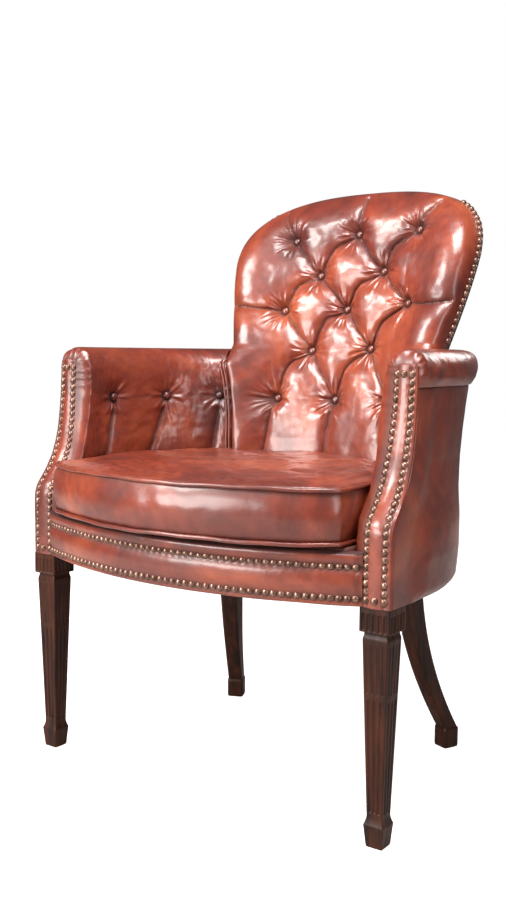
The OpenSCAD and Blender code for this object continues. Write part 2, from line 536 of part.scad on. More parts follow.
// Outside arms: leather on board, tucked in under the seat frame
function outside_rows(d) = [for (z = concat([for (k = [0, 3, 6, 10, roll_h]) skirt_z + k],
    [for (k = [-58, -18, -3, 12, 27, 47, 72, 102]) knee_z + k], [arm_button_z, cap_z - 2 * gap]))
    [for (v = arm_vs) on_arm(v, z, d + tuck(z) * clamp(3 * v - 1.8), front_gap)]];
module outside_arm_panel(side) color(leather) centred() mirrored(side)
    shell(outside_rows(panel_t), outside_rows(0));
module outside_arm_panel_left() outside_arm_panel(-1);
module outside_arm_panel_right() outside_arm_panel(1);

// Arm facings: narrow swept strips nailed over the arm fronts
facing_cols = [[0, 1.4], [9, 0], [22.5, -1.2], [36, 0], [facing_in, 1.4]];
function taper(z) = 1 - 0.17 * smooth((z - knee_z - 37) / 130);
function facing_rows(front) = [for (z = concat([skirt_z, 385], steps(knee_z - 18, facing_z, 18)))
    [for (p = facing_cols) [half_w - p[0] * taper(z), sweep_y(z) + (front ? p[1] : facing_t), z]]];
module arm_facing(side) color(leather) centred() mirrored(side)
    shell(facing_rows(true), facing_rows(false));
module arm_facing_left() arm_facing(-1);
module arm_facing_right() arm_facing(1);

// Welts where the inside arms meet the inside back
function welt_ring(z) = let (c = on_back(back_w(z) - 3.2, z, back_d - 12))
    [for (i = [0:7]) c + 2.8 * [cos(45 * i), sin(45 * i), 0]];
module back_arm_welt(side) color("#6b2a1c") centred() mirrored(side)
    loft([for (z = levels(pad_z + 2, arm_h - 2)) welt_ring(z)]);
module back_arm_welt_left() back_arm_welt(-1);
module back_arm_welt_right() back_arm_welt(1);

// Buttons, each with its twine
module button(stem) rotate_extrude($fn = 32)
    polygon([[0, -stem], [0.9, -stem], [0.9, 0], [button_d / 2 - 1.5, 0], [button_d / 2, 1.5],
        [button_d / 2 - 1.4, 3.6], [button_d / 4, 5.6], [0, 6.2]]);
function out_of(p, q) = (q - p) / norm(q - p);
module back_buttons() color(leather) centred() for (k = [0:4], i = [0:2 - k % 2]) {
    x = (i - (k % 2 == 0 ? 1 : 0.5)) * tuft_x(tuft_z[k]);
    z = tuft_z[k];
    p = on_back(x, z, back_d - back_tuft + 0.4);
    dx = on_back(x + 2, z, back_d) - on_back(x - 2, z, back_d);
    dz = on_back(x, z + 2, back_d) - on_back(x, z - 2, back_d);
    stand(p, cross(dx, dz)) button(6);
}
module arm_buttons(side) color(leather) centred() mirrored(side) for (v = arm_button_v) {
    z = arm_button_z;
    p = on_arm(v, z, arm_d - arm_tuft + 0.4);
    stand(p, out_of(on_arm(v, z, 30), on_arm(v, z, 60))) button(6);
}
module arm_buttons_left() arm_buttons(-1);
module arm_buttons_right() arm_buttons(1);

// Dome nails
module nail() rotate_extrude($fn = 24)
    polygon([[0, -12], [0.8, -12], [0.8, 0], [nail_d / 2, 0], [nail_d / 2 - 1.2, 2], [0, 3.2]]);
bow_k = bow / pow(half_w - 36, 2);
function along_bow(x) = x + 2 / 3 * bow_k * bow_k * x * x * x;
border_reach = along_bow(border_end - nail_d / 2);
last_nail = floor(border_reach / nail_pitch);
border_pitch = border_reach / last_nail;
module border_nail(s, out, z) {
    x = s - 2 / 3 * bow_k * bow_k * s * abs(s) * abs(s);
    stand([x, bow_y(x) - out, z], [2 * bow_k * x, -1, 0]) nail();
}
module border_nails(from, to, out, z) color("#8a6a2c") centred()
    for (i = [from:to]) border_nail(i * border_pitch, out, z);
module lower_border_nails_left() border_nails(-last_nail, -1, 3, skirt_z + nail_low);
module lower_border_nails_right() border_nails(0, last_nail, 3, skirt_z + nail_low);
module upper_border_nails_left() border_nails(-last_nail, -1, 3.2, skirt_z + nail_high);
module upper_border_nails_right() border_nails(0, last_nail, 3.2, skirt_z + nail_high);
function climb(z) = z > facing_z - 12 ? []
    : concat([z], climb(z + nail_pitch / sqrt(1 + pow(sweep_slope(z), 2))));
facing_nail_z = climb(skirt_z + nail_low);
module facing_nail(d, z) stand([half_w - d * taper(z), sweep_y(z), z], [0, -1, sweep_slope(z)]) nail();
module outer_facing_nails(side) color("#8a6a2c") centred() mirrored(side) {
    for (z = facing_nail_z) facing_nail(9, z);
    facing_nail(22.5, facing_nail_z[0]);
    facing_nail(22.5, facing_nail_z[len(facing_nail_z) - 1]);
}
module inner_facing_nails(side) color("#8a6a2c") centred() mirrored(side)
    for (z = facing_nail_z) facing_nail(36, z);
module outer_facing_nails_left() outer_facing_nails(-1);
module outer_facing_nails_right() outer_facing_nails(1);
module inner_facing_nails_left() inner_facing_nails(-1);
module inner_facing_nails_right() inner_facing_nails(1);
function arch_point(t) = let (r = pow(pow(cos(t) / shoulder_w, arch_n)
    + pow(sin(t) / arch_h, arch_n), -1 / arch_n)) [r * cos(t), shoulder_z + r * sin(t)];
function round_arch(t) = t > last_turn ? []
    : concat([t], round_arch(t + nail_pitch / norm(arch_point(t + 1) - arch_point(t))));
last_turn = 28;                    // the nails stop on the shoulder, this many degrees round
side_nails = floor((shoulder_z - arm_h - 12) / nail_pitch);
module back_nails(side) color("#8a6a2c") centred() mirrored(side) {
    for (i = [0:side_nails])
        stand(on_back(back_w(shoulder_z - i * nail_pitch), shoulder_z - i * nail_pitch, frame_d + 7),
            [1, 0, 0]) nail();
    for (t = round_arch(nail_pitch / shoulder_w * 57.3)) {
        p = arch_point(t);
        along = arch_point(t + 1) - p;
        stand(on_back(p[0], p[1], frame_d + 7), [along[1], 0, -along[0]]) nail();
    }
}
module back_nails_left() back_nails(-1);
module back_nails_right() back_nails(1);

// Seat cushion: outline e further in from its edge, counter-clockwise
cushion_a = tub_a(cushion_z + cushion_h + piping_r) - arm_d - gap;
cushion_b = tub_b(cushion_z) - back_d - gap;
cushion_y = turn_y(cushion_z);
function cushion_curve(e) = concat(
    [for (t = steps(0, 180, 24)) [(cushion_a - e) * sign(cos(t)) * pow(abs(cos(t)), 2 / tub_n),
        cushion_y + (cushion_b - e) * pow(sin(t), 2 / tub_n)]],
    [for (x = [-1, -0.985, -0.95, -0.85, -0.7, -0.5, -0.25, 0, 0.25, 0.5, 0.7, 0.85, 0.95, 0.985, 1])
        [x * (cushion_a - e), -cushion_front + e - cushion_bow * (1 - x * x)
            + 10 * pow(abs(x), 30)]]);
function at_z(points, z) = [for (p = points) [p[0], p[1], z]];
cushion_rings = [96, 76, 54, 33, 16, 7];
core_rings = [96, 76, 54, 33, 19, 10.5];
function dome(e) = cushion_crown * (1 - pow(1 - clamp(e / 96), 2));
cushion_top = cushion_z + cushion_h;
module cushion_core() color("#d9cdb4") centred()
    shell([for (e = core_rings) at_z(cushion_curve(e), cushion_top + dome(e) - 4)],
        [for (e = core_rings) at_z(cushion_curve(e), cushion_z + gap)],
        loop = true, capped = true);
module cushion_top_panel() color(leather) centred()
    shell([for (e = cushion_rings) at_z(cushion_curve(e), cushion_top + dome(e))],
        [for (e = cushion_rings) at_z(cushion_curve(e), cushion_top + dome(e) - 3.4)],
        loop = true, capped = true);
module cushion_bottom_panel() color(leather) centred() translate([0, 0, cushion_z - piping_r + 0.6])
    linear_extrude(piping_r - 0.8)
    polygon(cushion_curve(7));
border_shape = [[4.2, -piping_r - gap], [2.6, -cushion_h / 4], [2.2, -cushion_h / 2],
    [2.6, -cushion_h * 3 / 4], [4.2, -cushion_h + piping_r + gap]];
module cushion_border() color(leather) centred()
    shell([for (p = border_shape) at_z(cushion_curve(p[0]), cushion_top + p[1])],
        [for (p = border_shape) at_z(cushion_curve(p[0] + 3.6), cushion_top + p[1])], loop = true);
module cushion_piping(z) color("#6b2a1c") centred()
    loft([for (i = [0:7]) at_z(cushion_curve(piping_r - piping_r * cos(45 * i)),
        z + piping_r * sin(45 * i))], closed = true);
module cushion_piping_top() cushion_piping(cushion_top);
module cushion_piping_bottom() cushion_piping(cushion_z);
module cushion_zip() color("#3a2a22") centred()
    shell([for (z = [12, 0]) [for (p = zip_line(0.4)) [p[0], p[1], cushion_z + 30 + z]]],
        [for (z = [12, 0]) [for (p = zip_line(1.6)) [p[0], p[1], cushion_z + 30 + z]]]);
function zip_line(e) = [for (t = steps(50, 130, 12))
    [(cushion_a - e) * sign(cos(t)) * pow(abs(cos(t)), 2 / tub_n),
        cushion_y + (cushion_b - e) * pow(sin(t), 2 / tub_n)]];

front_leg_left();
front_leg_right();
rear_leg_left();
rear_leg_right();
front_seat_rail();
side_seat_rail_left();
side_seat_rail_right();
rear_seat_rail();
corner_blocks();
corner_block_screws();
arm_post_left();
arm_post_right();
arm_rail_left();
arm_rail_right();
back_upright_left();
back_upright_right();
crest_rail();
back_stay_rail();
seat_webbing_long();
seat_webbing_cross();
seat_hessian();
seat_deck();
dust_cover();
back_webbing_long();
back_webbing_cross();
front_border();
inside_back_pad();
back_edge_roll();
outside_back_panel();
inside_arm_pad_left();
inside_arm_pad_right();
outside_arm_panel_left();
outside_arm_panel_right();
arm_facing_left();
arm_facing_right();
back_arm_welt_left();
back_arm_welt_right();
back_buttons();
arm_buttons_left();
arm_buttons_right();
lower_border_nails_left();
lower_border_nails_right();
upper_border_nails_left();
upper_border_nails_right();
outer_facing_nails_left();
inner_facing_nails_left();
outer_facing_nails_right();
inner_facing_nails_right();
back_nails_left();
back_nails_right();
cushion_core();
cushion_top_panel();
cushion_bottom_panel();
cushion_border();
cushion_piping_top();
cushion_piping_bottom();
cushion_zip();
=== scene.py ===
import math

import bpy
import numpy as np
from mathutils import Matrix, Vector, noise


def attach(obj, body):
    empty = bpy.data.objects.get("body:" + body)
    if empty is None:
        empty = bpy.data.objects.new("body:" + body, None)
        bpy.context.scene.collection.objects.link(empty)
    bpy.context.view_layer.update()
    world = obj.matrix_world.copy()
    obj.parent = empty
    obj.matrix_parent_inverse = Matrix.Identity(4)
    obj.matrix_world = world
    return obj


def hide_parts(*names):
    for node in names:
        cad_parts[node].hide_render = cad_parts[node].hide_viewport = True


# Camera
# Stands at the height of the arms, in front of the chair and to its right as seen from there, where
# the chair's own symmetry puts the photograph's viewpoint.
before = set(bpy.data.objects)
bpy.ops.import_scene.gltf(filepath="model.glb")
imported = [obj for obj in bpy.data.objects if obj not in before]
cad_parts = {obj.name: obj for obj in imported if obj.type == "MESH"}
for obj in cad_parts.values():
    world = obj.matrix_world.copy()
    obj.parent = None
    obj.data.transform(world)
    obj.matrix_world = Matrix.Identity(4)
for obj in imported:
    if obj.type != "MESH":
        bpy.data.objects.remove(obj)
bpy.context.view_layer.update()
MID = 0.224303                          # metres from the drawing's front line to the chair's middle
FOCAL_PX, PICTURE_H, SENSOR = 1054.17, 900, 36
EYE = Vector((0.96873, -1.19935 - MID, 0.66336))
yaw, pitch, roll = 0.620227, 0.0909888, 0.0091330
aim = Matrix.Rotation(yaw, 4, "Z") @ Matrix.Rotation(math.pi / 2 - pitch, 4, "X")
camera = bpy.data.objects.new("camera", bpy.data.cameras.new("camera"))
bpy.context.scene.collection.objects.link(camera)
camera.data.sensor_width = SENSOR
camera.data.lens = FOCAL_PX / PICTURE_H * SENSOR
camera.matrix_world = Matrix.Translation(EYE) @ aim @ Matrix.Rotation(roll, 4, "Z")
bpy.context.scene.camera = camera
bpy.context.scene.view_settings.view_transform = "Standard"

# Floor, backdrop and lights
# A plain white floor and backdrop under soft studio light: a large lamp high on the left, one above,
# a low one in front, a weak fill from the right and a dim one behind.
floor_mesh = bpy.data.meshes.new("floor")
floor_mesh.from_pydata([(-9, -9, 0), (9, -9, 0), (9, 9, 0), (-9, 9, 0)], [], [(0, 1, 2, 3)])
floor = bpy.data.objects.new("floor", floor_mesh)
bpy.context.scene.collection.objects.link(floor)


def new_material(name):
    """A new material, its node tree and its Principled shader."""
    m = bpy.data.materials.new(name)
    m.use_nodes = True
    return m, m.node_tree, m.node_tree.nodes["Principled BSDF"]


def assign(node, **values):
    """Sets a node's inputs by name, underscores standing for spaces."""
    for key, value in values.items():
        node.inputs[key.replace("_", " ")].default_value = value
    return node


def wire(t, node, *wires):
    """Links a node's inputs; each wire is an input, a source node and its output."""
    for into, source, out in wires:
        t.links.new(source.outputs[out], node.inputs[into])


def add(t, kind, wires=(), **values):
    """A new node in tree t with its values and wires."""
    node = assign(t.nodes.new(kind), **values)
    wire(t, node, *wires)
    return node


def seen_as(t, shader, in_view, output):
    """The camera sees in_view, while the light falls as the other shader has it."""
    ray = add(t, "ShaderNodeLightPath")
    pick = add(t, "ShaderNodeMixShader", [(0, ray, "Is Camera Ray"), (1, shader, 0), (2, in_view, 0)])
    wire(t, t.nodes[output], ("Surface", pick, 0))


floor_material, t, shader = new_material("pale_floor")
assign(shader, Base_Color=(0.5, 0.46, 0.44, 1), Roughness=0.9)
glow = add(t, "ShaderNodeEmission", Color=(1, 1, 1, 1), Strength=0.94)
seen_as(t, shader, add(t, "ShaderNodeAddShader", [(0, glow, 0), (1, shader, 0)]), "Material Output")
floor.data.materials.append(floor_material)

world = bpy.data.worlds.new("studio")
bpy.context.scene.world = world
world.use_nodes = True
t = world.node_tree
sky = assign(t.nodes["Background"], Color=(0.93, 0.95, 1, 1), Strength=0.13)
seen_as(t, sky, add(t, "ShaderNodeBackground", Color=(1, 1, 1, 1)), "World Output")

for name, place, target, size, watts, colour in (
        ("key", (-1.2, -2.0, 2.2), (0, 0, 0.55), (1.1, 0.8), 84, (1, 0.96, 0.93)),
        ("top", (0.45, -0.6, 2.3), (-0.1, 0, 0.5), (0.9, 0.9), 66, (1, 0.96, 0.95)),
        ("front", (-0.75, -2.35, 0.95), (0, -0.2, 0.45), (1.5, 0.8), 58, (1, 0.97, 0.94)),
        ("fill", (2.3, -1.0, 1.2), (0, 0, 0.5), (0.6, 1.3), 15, (0.98, 0.98, 0.96)),
        ("rear", (0.6, 2.6, 1.9), (0, 0, 0.5), (1.2, 1.0), 22, (1, 0.97, 0.95))):
    lamp = bpy.data.objects.new(name, bpy.data.lights.new(name, "AREA"))
    bpy.context.scene.collection.objects.link(lamp)
    lamp.data.shape = "RECTANGLE"
    lamp.data.size, lamp.data.size_y = size
    lamp.data.energy = watts
    lamp.data.color = colour
    lamp.location = place
    lamp.rotation_mode = "QUATERNION"
    lamp.rotation_quaternion = (Vector(target) - Vector(place)).to_track_quat("-Z", "Y")

# Front legs
# Solid mahogany, square and tapered to a spade foot, fluted on all faces; they carry the arm posts.
SIDES = ((1, "right"), (-1, "left"))    # as seen from the front
LEG_X, LEG_Y, LEG_TOP, BLOCK_Z = 310, 23, 331, 298.0


def clamp(k):
    return np.clip(k, 0, 1)


def smooth(k):
    """Eases from 0 to 1 as k goes from 0 to 1."""
    k = clamp(k)
    return k * k * (3 - 2 * k)


def xyz(x, y, z):
    """Points from three coordinates, spread to one shape."""
    return np.stack(np.broadcast_arrays(x, y, z), -1)


def grid_piece(name, grids, painted_shade=None, wrap_i=False, wrap_j=False, flip=False):
    """A smooth mesh over grids of points, in millimetres in the chair's drawing frame."""
    faces, start = [], 0
    for n, m in (g.shape[:2] for g in grids):
        i = np.arange(n if wrap_i else n - 1)[:, None]
        j = np.arange(m if wrap_j else m - 1)[None, :]
        next_i, next_j = (i + 1) % n * m, (j + 1) % m
        quads = np.broadcast_arrays(i * m + j, i * m + next_j, next_i + next_j, next_i + j)
        faces.append(np.stack(quads[::-1] if flip else quads, -1).reshape(-1, 4) + start)
        start += n * m
    p = np.concatenate([g.reshape(-1, 3) for g in grids]) / 1000
    p[:, 1] -= MID
    mesh = bpy.data.meshes.new(name)
    mesh.from_pydata(p.tolist(), [], np.concatenate(faces).tolist())
    mesh.polygons.foreach_set("use_smooth", [True] * len(mesh.polygons))
    # per-point attribute: how much shade is painted into the hide's colour here, where it is also made duller
    if painted_shade is not None:
        a = mesh.attributes.new("painted_shade", "FLOAT", "POINT")
        a.data.foreach_set("value", np.asarray(painted_shade, np.float32).ravel())
    mesh.update()
    obj = bpy.data.objects.new(name, mesh)
    bpy.context.scene.collection.objects.link(obj)
    return obj


def finish_piece(obj, material, slot, body, *nodes):
    """Gives a piece its material and body, and hides the CAD nodes it stands for."""
    obj.data.materials.append(material)
    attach(obj, body)
    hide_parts(*nodes)


def ramp_of(t, source, *stops):
    """A colour ramp over a node's first output; stops are places and colours, lowest first."""
    ramp = add(t, "ShaderNodeValToRGB", [(0, source, 0)])
    marks = ramp.color_ramp.elements
    while len(marks) < len(stops):
        marks.new(0.5)
    for mark, (place, colour) in zip(marks, stops):
        mark.position = place
        mark.color = (*colour, 1)
    return ramp


def mottle(t, shader, figure, stops, strength, depth, rough):
    """Colour, relief and roughness that all follow one noise."""
    bump = add(t, "ShaderNodeBump", [("Height", figure, 0)], Strength=strength, Distance=depth)
    shade = add(t, "ShaderNodeMapRange", [(0, figure, 0)], To_Min=rough[0], To_Max=rough[1])
    hue = ramp_of(t, figure, *stops)
    wire(t, shader, ("Base Color", hue, 0), ("Normal", bump, 0), ("Roughness", shade, 0))


def wood(name, dark, light, rough, coat, grain):
    """Timber with its grain upright."""
    m, t, shader = new_material(name)
    place = add(t, "ShaderNodeTexCoord")
    drawn_out = add(t, "ShaderNodeMapping", [("Vector", place, "Object")], Scale=grain)
    figure = add(t, "ShaderNodeTexNoise", [("Vector", drawn_out, 0)], Scale=3, Detail=6, Distortion=0.6)
    mottle(t, shader, figure, ((0.32, dark), (0.72, light)), 0.12, 0.0006, (rough + 0.12, rough - 0.06))
    assign(shader, Coat_Weight=coat, Coat_Roughness=0.12, Specular_IOR_Level=0.22)
    return m


mahogany = wood("mahogany", (0.008, 0.002, 0.0008), (0.056, 0.013, 0.004), 0.4, 0.02, (26, 26, 3))


def leg_half(z):
    """Half width of a front leg: sole, spade foot, ankle, tapering shaft, neck and block."""
    return np.select(
        [z < 2, z <= 31, z <= 34, z <= 44, z <= BLOCK_Z - 12, z < BLOCK_Z, z < BLOCK_Z + 1.2],
        [11.9 + z * 0.42,
         12.75 + (z - 2) / 29 * 2.75,
         15.5 - (z - 31) / 3 * 1.2,
         14.3 - 2.05 * np.sin(np.pi / 2 * (z - 34) / 10),
         12.25 + (z - 44) / (BLOCK_Z - 56) * 7.25,
         19.5 - 1.6 * smooth((z - BLOCK_Z + 11) / 8),
         22.6 + (z - BLOCK_Z) * 0.33], 23.0)


def flutes(s, z, half, centres, r, z0, z1, depth):
    """Depth of round-ended grooves that run between two heights."""
    out = np.zeros_like(z)
    for c in centres:
        dx = np.abs(s * half - c * half) / r
        dz = np.maximum(np.maximum(z0 + r - z, z - z1 + r), 0) / r
        q = 1 - np.sqrt(dx * dx + dz * dz)
        out = np.maximum(out, depth * np.sqrt(clamp(1 - (1 - clamp(q)) ** 2)))
    return out


def lid(half, z):
    """A flat square that closes a front leg."""
    x, y = np.meshgrid(LEG_X + np.array([-half, half]), LEG_Y + np.array([-half, half]))
    return xyz(x, y, z)


def front_leg():
    """Four fluted faces, the top and the sole."""
    zs = np.concatenate([np.linspace(*run) for run in (
        (0, 31, 14), (32, 46, 12), (47, 60, 14), (64, 196, 34), (198, 222, 20), (226, 268, 10),
        (270, 297.6, 24), (BLOCK_Z, 302, 6), (303, 318, 8), (319, LEG_TOP, 16))])
    Z, S = np.meshgrid(zs, np.linspace(-1, 1, 73), indexing="ij")
    half = leg_half(Z)
    depth = flutes(S, Z, half, (-0.54, 0, 0.54), np.minimum(2.5, 0.165 * half), 48, 205, 1.5)
    depth += flutes(S, Z, half, (-0.66, -0.22, 0.22, 0.66), 1.9, 213, 281, 0.9)
    depth += flutes(S, Z, half, (-0.72, -0.36, 0, 0.36, 0.72), 2.9, 299, 323.5, 1.9)
    corner = 0.55 * np.abs(S) ** 24
    x, y = S * half - np.sign(S) * corner, -half + depth + corner
    faces = []
    for _ in range(4):
        faces.append(xyz(x + LEG_X, y + LEG_Y, Z))
        x, y = -y, x
    return [*faces, lid(22.5, LEG_TOP), lid(11.8, 0).swapaxes(0, 1)]


for side, name in SIDES:
    obj = grid_piece("fluted_front_leg_" + name, [g * (side, 1, 1) for g in front_leg()], flip=side < 0)
    finish_piece(obj, mahogany, "mahogany", "chair", "front_leg_" + name)

# Rear legs
# Plain mahogany sabre legs on square feet, splayed out and back, fixed up under the seat rails.
FOOT_H, REAR_X, REAR_Y, SPLAY_X, SPLAY_Y = 34, 182, 345, 41, 76
zs = np.concatenate([np.linspace(0, 33, 8), np.linspace(FOOT_H, 37, 5), np.linspace(38, LEG_TOP, 70)])
zs = zs[:, None]
k = (1 - np.maximum(zs - FOOT_H, 0) / (LEG_TOP - FOOT_H)) ** 2
half = np.where(zs <= 33.5, 15.0 - 0.6 * clamp((2 - zs) / 2),
                13.6 + 4.4 * smooth((zs - FOOT_H) / (LEG_TOP - FOOT_H)))
a = np.linspace(0, 2 * np.pi, 48, endpoint=False)
squared = (np.abs(np.cos(a)) ** 9 + np.abs(np.sin(a)) ** 9) ** (-1 / 9)
u, v = np.cos(a) * squared, np.sin(a) * squared
turn = np.radians(-24 * (0.3 + 0.7 * k))
x = half * (u * np.cos(turn) - v * np.sin(turn))
y = half * (u * np.sin(turn) + v * np.cos(turn))
sabre = xyz(x + REAR_X + SPLAY_X * k, y + REAR_Y + SPLAY_Y * k, zs)
sole, top = ((ring - ring.mean(0)) * 0.02 + ring.mean(0) for ring in (sabre[0], sabre[-1]))
sabre = np.concatenate([sole[None], sabre, top[None]])
for side, name in SIDES:
    obj = grid_piece("sabre_rear_leg_" + name, [sabre * (side, 1, 1)], wrap_j=True, flip=side < 0)
    finish_piece(obj, mahogany, "mahogany", "chair", "rear_leg_" + name)

# Frame inside
# Beech rails, posts, uprights and corner blocks, glued and screwed; wholly hidden by the upholstery.


def plain(name, dark, light, scale, rough, metallic=0):
    """A lightly mottled material."""
    m, t, shader = new_material(name)
    spots = add(t, "ShaderNodeTexNoise", Scale=scale)
    wire(t, shader, ("Base Color", ramp_of(t, spots, (0, dark), (1, light)), 0))
    assign(shader, Roughness=rough, Metallic=metallic)
    return m


beech = wood("beech", (0.42, 0.27, 0.15), (0.66, 0.48, 0.3), 0.55, 0.0, (40, 40, 6))
steel = plain("screw_steel", (0.3, 0.3, 0.3), (0.6, 0.6, 0.58), 220, 0.4, metallic=1)
for node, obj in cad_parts.items():
    if any(w in node for w in ("seat_rail", "arm_post", "arm_rail", "back_upright", "crest_rail",
                               "stay_rail", "corner_block")):
        obj.data.materials.clear()
        obj.data.materials.append(steel if "screws" in node else beech)

# Webbing, hessian and dust cover
# Jute straps woven under the seat and behind the back, hessian over them, black cloth tacked below.


def cloth(name, dark, light, threads):
    """Plain weave: crossed waves set the colour and the bump."""
    m, t, shader = new_material(name)
    place = add(t, "ShaderNodeTexCoord")
    both = add(t, "ShaderNodeMath")
    both.operation = "MULTIPLY"
    for i, angle in enumerate((0, math.pi / 2)):
        turned_by = add(t, "ShaderNodeMapping", [("Vector", place, "Object")], Rotation=(0, 0, angle))
        wave = add(t, "ShaderNodeTexWave", [("Vector", turned_by, 0)], Scale=threads, Distortion=0.6)
        wire(t, both, (i, wave, "Fac"))
    bump = add(t, "ShaderNodeBump", [("Height", both, 0)], Strength=0.7, Distance=0.0004)
    wire(t, shader, ("Base Color", ramp_of(t, both, (0, dark), (1, light)), 0), ("Normal", bump, 0))
    assign(shader, Roughness=0.9, Sheen_Weight=0.2)
    return m


jute = cloth("jute_webbing", (0.2, 0.14, 0.07), (0.55, 0.43, 0.25), 60)
hessian = cloth("hessian", (0.16, 0.11, 0.05), (0.45, 0.34, 0.18), 90)
lining = cloth("dust_cloth", (0.004, 0.004, 0.004), (0.03, 0.03, 0.03), 120)

# the chair's shape: a superellipse in plan that leans back with height; d is the depth inside it
HALF_W, RAIL_Z, BACK_H, ARM_H = 333.0, 331.0, 958.0, 672.0
BACK_D, ARM_D, GAP = 69.5, 61.5, 0.3
SHOULDER_Z, SHOULDER_W, ARCH_H, ARCH_N = 831.0, 241.0, 127.0, 2.57
SKIRT_Z, PAD_Z, DECK_Z, CUSHION_Z = 331.3, 395.9, 409.4, 412.9
BOW, BOW_HALF, N = 70, 297, 2.3


def rise(z):
    """0 at the seat rails, 1 at the top of the arms."""
    return clamp((z - RAIL_Z) / (ARM_H - RAIL_Z))


def straight_a(z):
    return HALF_W + 4 * rise(z) + 0.65 * np.maximum(0, z - ARM_H)


def bulge(z):
    """The walls belly out low down and draw in above the cushion."""
    return np.interp(z, (385, 425, 470, 515, 587, 672), (7.3, 3.65, -2.52, -6.3, -5.67, 0))


def tub_a(z):
    """Half width of the tub."""
    return straight_a(z) + bulge(z)


def turn_y(z):
    """Where the straight arms turn into the round of the tub."""
    return 92 + 60 * rise(z)


def tub_b(z):
    """How far the tub reaches back from there."""
    lean = 0.178 * (z - RAIL_Z) + 30 * ((z - RAIL_Z) / (BACK_H - RAIL_Z)) ** 2
    return 405 + lean - turn_y(z) + bulge(z)


def beside(k):
    """The superellipse's one ordinate where the other is k of its half axis."""
    return np.maximum(1 - np.abs(k) ** N, 0) ** (1 / N)


def round_back(a, b, t):
    """Points round the rear half of a superellipse, t from 0 at one end to pi at the other."""
    return np.stack([a * np.sign(np.cos(t)) * np.abs(np.cos(t)) ** (2 / N),
                     b * np.abs(np.sin(t)) ** (2 / N)], -1)


def on_back(x, z, d):
    """Points on the tub's round."""
    return xyz(x, turn_y(z) + (tub_b(z) - d) * beside(x / (tub_a(z) - d)), z)


def wall_x(y, z, d):
    """Half width of the tub at y."""
    return (tub_a(z) - d) * beside(np.maximum(y - turn_y(z), 0) / (tub_b(z) - d))


def back_w(z):
    """Half width of the back up to its shoulders."""
    k = clamp((z - ARM_H) / (SHOULDER_Z - ARM_H))
    return np.where(z <= ARM_H, 190 + 19 * rise(z), 209 + 32 * (k + np.sin(np.pi / 2 * k)) / 2)


def seam_w(z):
    """Half width between the seams where the inside arms meet the inside back."""
    return np.where(z <= ARM_H, 169 + 40 * rise(z) ** 4, back_w(z))


def sweep_y(z):
    """How far the arms' fronts sweep back above the seat."""
    q = 6 * np.log1p(np.exp(np.minimum(50, (z - 443) / 6)))
    return np.where(z < 403, 0, 64.5 * (1 - np.exp(-q / 55)))


def taper(z):
    """The arm facings narrow towards the top."""
    return 1 - 0.17 * smooth((z - 480) / 130)


def bow_y(x):
    """The seat's bowed front."""
    return 3.5 - BOW * (1 - (x / BOW_HALF) ** 2)


def arc_to(x):
    """Length along the bow from the middle."""
    return x + 2 / 3 * (BOW / BOW_HALF ** 2) ** 2 * x ** 3


def lengths_along(line):
    """Distance of each point of a line from its start."""
    return np.concatenate([[0], np.cumsum(np.linalg.norm(np.diff(line, axis=0), axis=1))])


WEB_W, WEB_T, WEB_Z, WEB_D = 50, 1.2, 393.05, 35.25
RAIL_TOP, TACK_D = 391.3, 34.5
LONG_PITCH, CROSS_PITCH, CROSS_Y = 76, 68, 83


def ribbon(centre, across, up):
    """A strap along a path, its edges rounded, as rings of points closed at both ends."""
    u = np.linspace(-1, 1, 15)
    half = WEB_T / 2 * (1 - 0.7 * np.abs(u) ** 12)
    side = np.concatenate([u, u[::-1]])[:, None] * WEB_W / 2
    lift = np.concatenate([half, -half[::-1]])[:, None]
    flat = centre[:, None] + across[..., None, :] * side
    return np.concatenate([flat[:1], flat + up[..., None, :] * lift, flat[-1:]])


def weave(along, pitch):
    """A strap's rise over and dip under the straps it crosses."""
    return 0.75 * np.clip(1.8 * np.cos(np.pi * along / pitch), -1, 1)


def straps(name, node, laid):
    """A set of straps, each laid by its centre line, the direction across it and its upper side."""
    obj = grid_piece(name, [ribbon(*strap) for strap in laid], wrap_j=True)
    finish_piece(obj, jute, "webbing", "chair", node)


def up_the_back(x, z, d, dx, dz):
    """A strap on the tub's round; dx and dz step half its width to the side."""
    line = on_back(x, z, d)
    across = on_back(x + dx, z + dz, d) - on_back(x - dx, z - dz, d)
    across /= np.linalg.norm(across, axis=1)[:, None]
    up = np.cross(across, np.gradient(line, axis=0))
    return line, across, up / np.linalg.norm(up, axis=1)[:, None]


laid = []
for k in range(-2, 3):
    far = abs(LONG_PITCH * k) + WEB_W / 2
    y = np.linspace(float(bow_y(far)) + 8, float(on_back(far, RAIL_TOP, TACK_D)[1]), 90)
    z = WEB_Z + (-1) ** k * weave(y - CROSS_Y, CROSS_PITCH)
    laid.append((xyz(LONG_PITCH * k, y, z), np.array([1.0, 0, 0]), np.array([0, 0, 1.0])))
straps("seat_straps_long", "seat_webbing_long", laid)
laid = []
for j in range(4):
    y = CROSS_Y + CROSS_PITCH * j
    far = float(wall_x(y + WEB_W / 2, RAIL_TOP, TACK_D))
    x = np.linspace(-far, far, 130)
    z = WEB_Z - (-1) ** j * weave(x, LONG_PITCH)
    laid.append((xyz(x, y, z), np.array([0, 1.0, 0]), np.array([0, 0, -1.0])))
straps("seat_straps_cross", "seat_webbing_cross", laid)
laid = []
for i, x in enumerate((-100.0, 0.0, 100.0)):
    r = (1 - ((abs(x) + WEB_W / 2) / (SHOULDER_W - 48.6)) ** ARCH_N) ** (1 / ARCH_N)
    z = np.linspace(432, SHOULDER_Z + (ARCH_H - 48.6) * r + 15, 120)
    laid.append(up_the_back(x, z, WEB_D + (-1) ** i * weave(z - 520, 105), WEB_W / 2, 0))
straps("back_straps_long", "back_webbing_long", laid)
laid = []
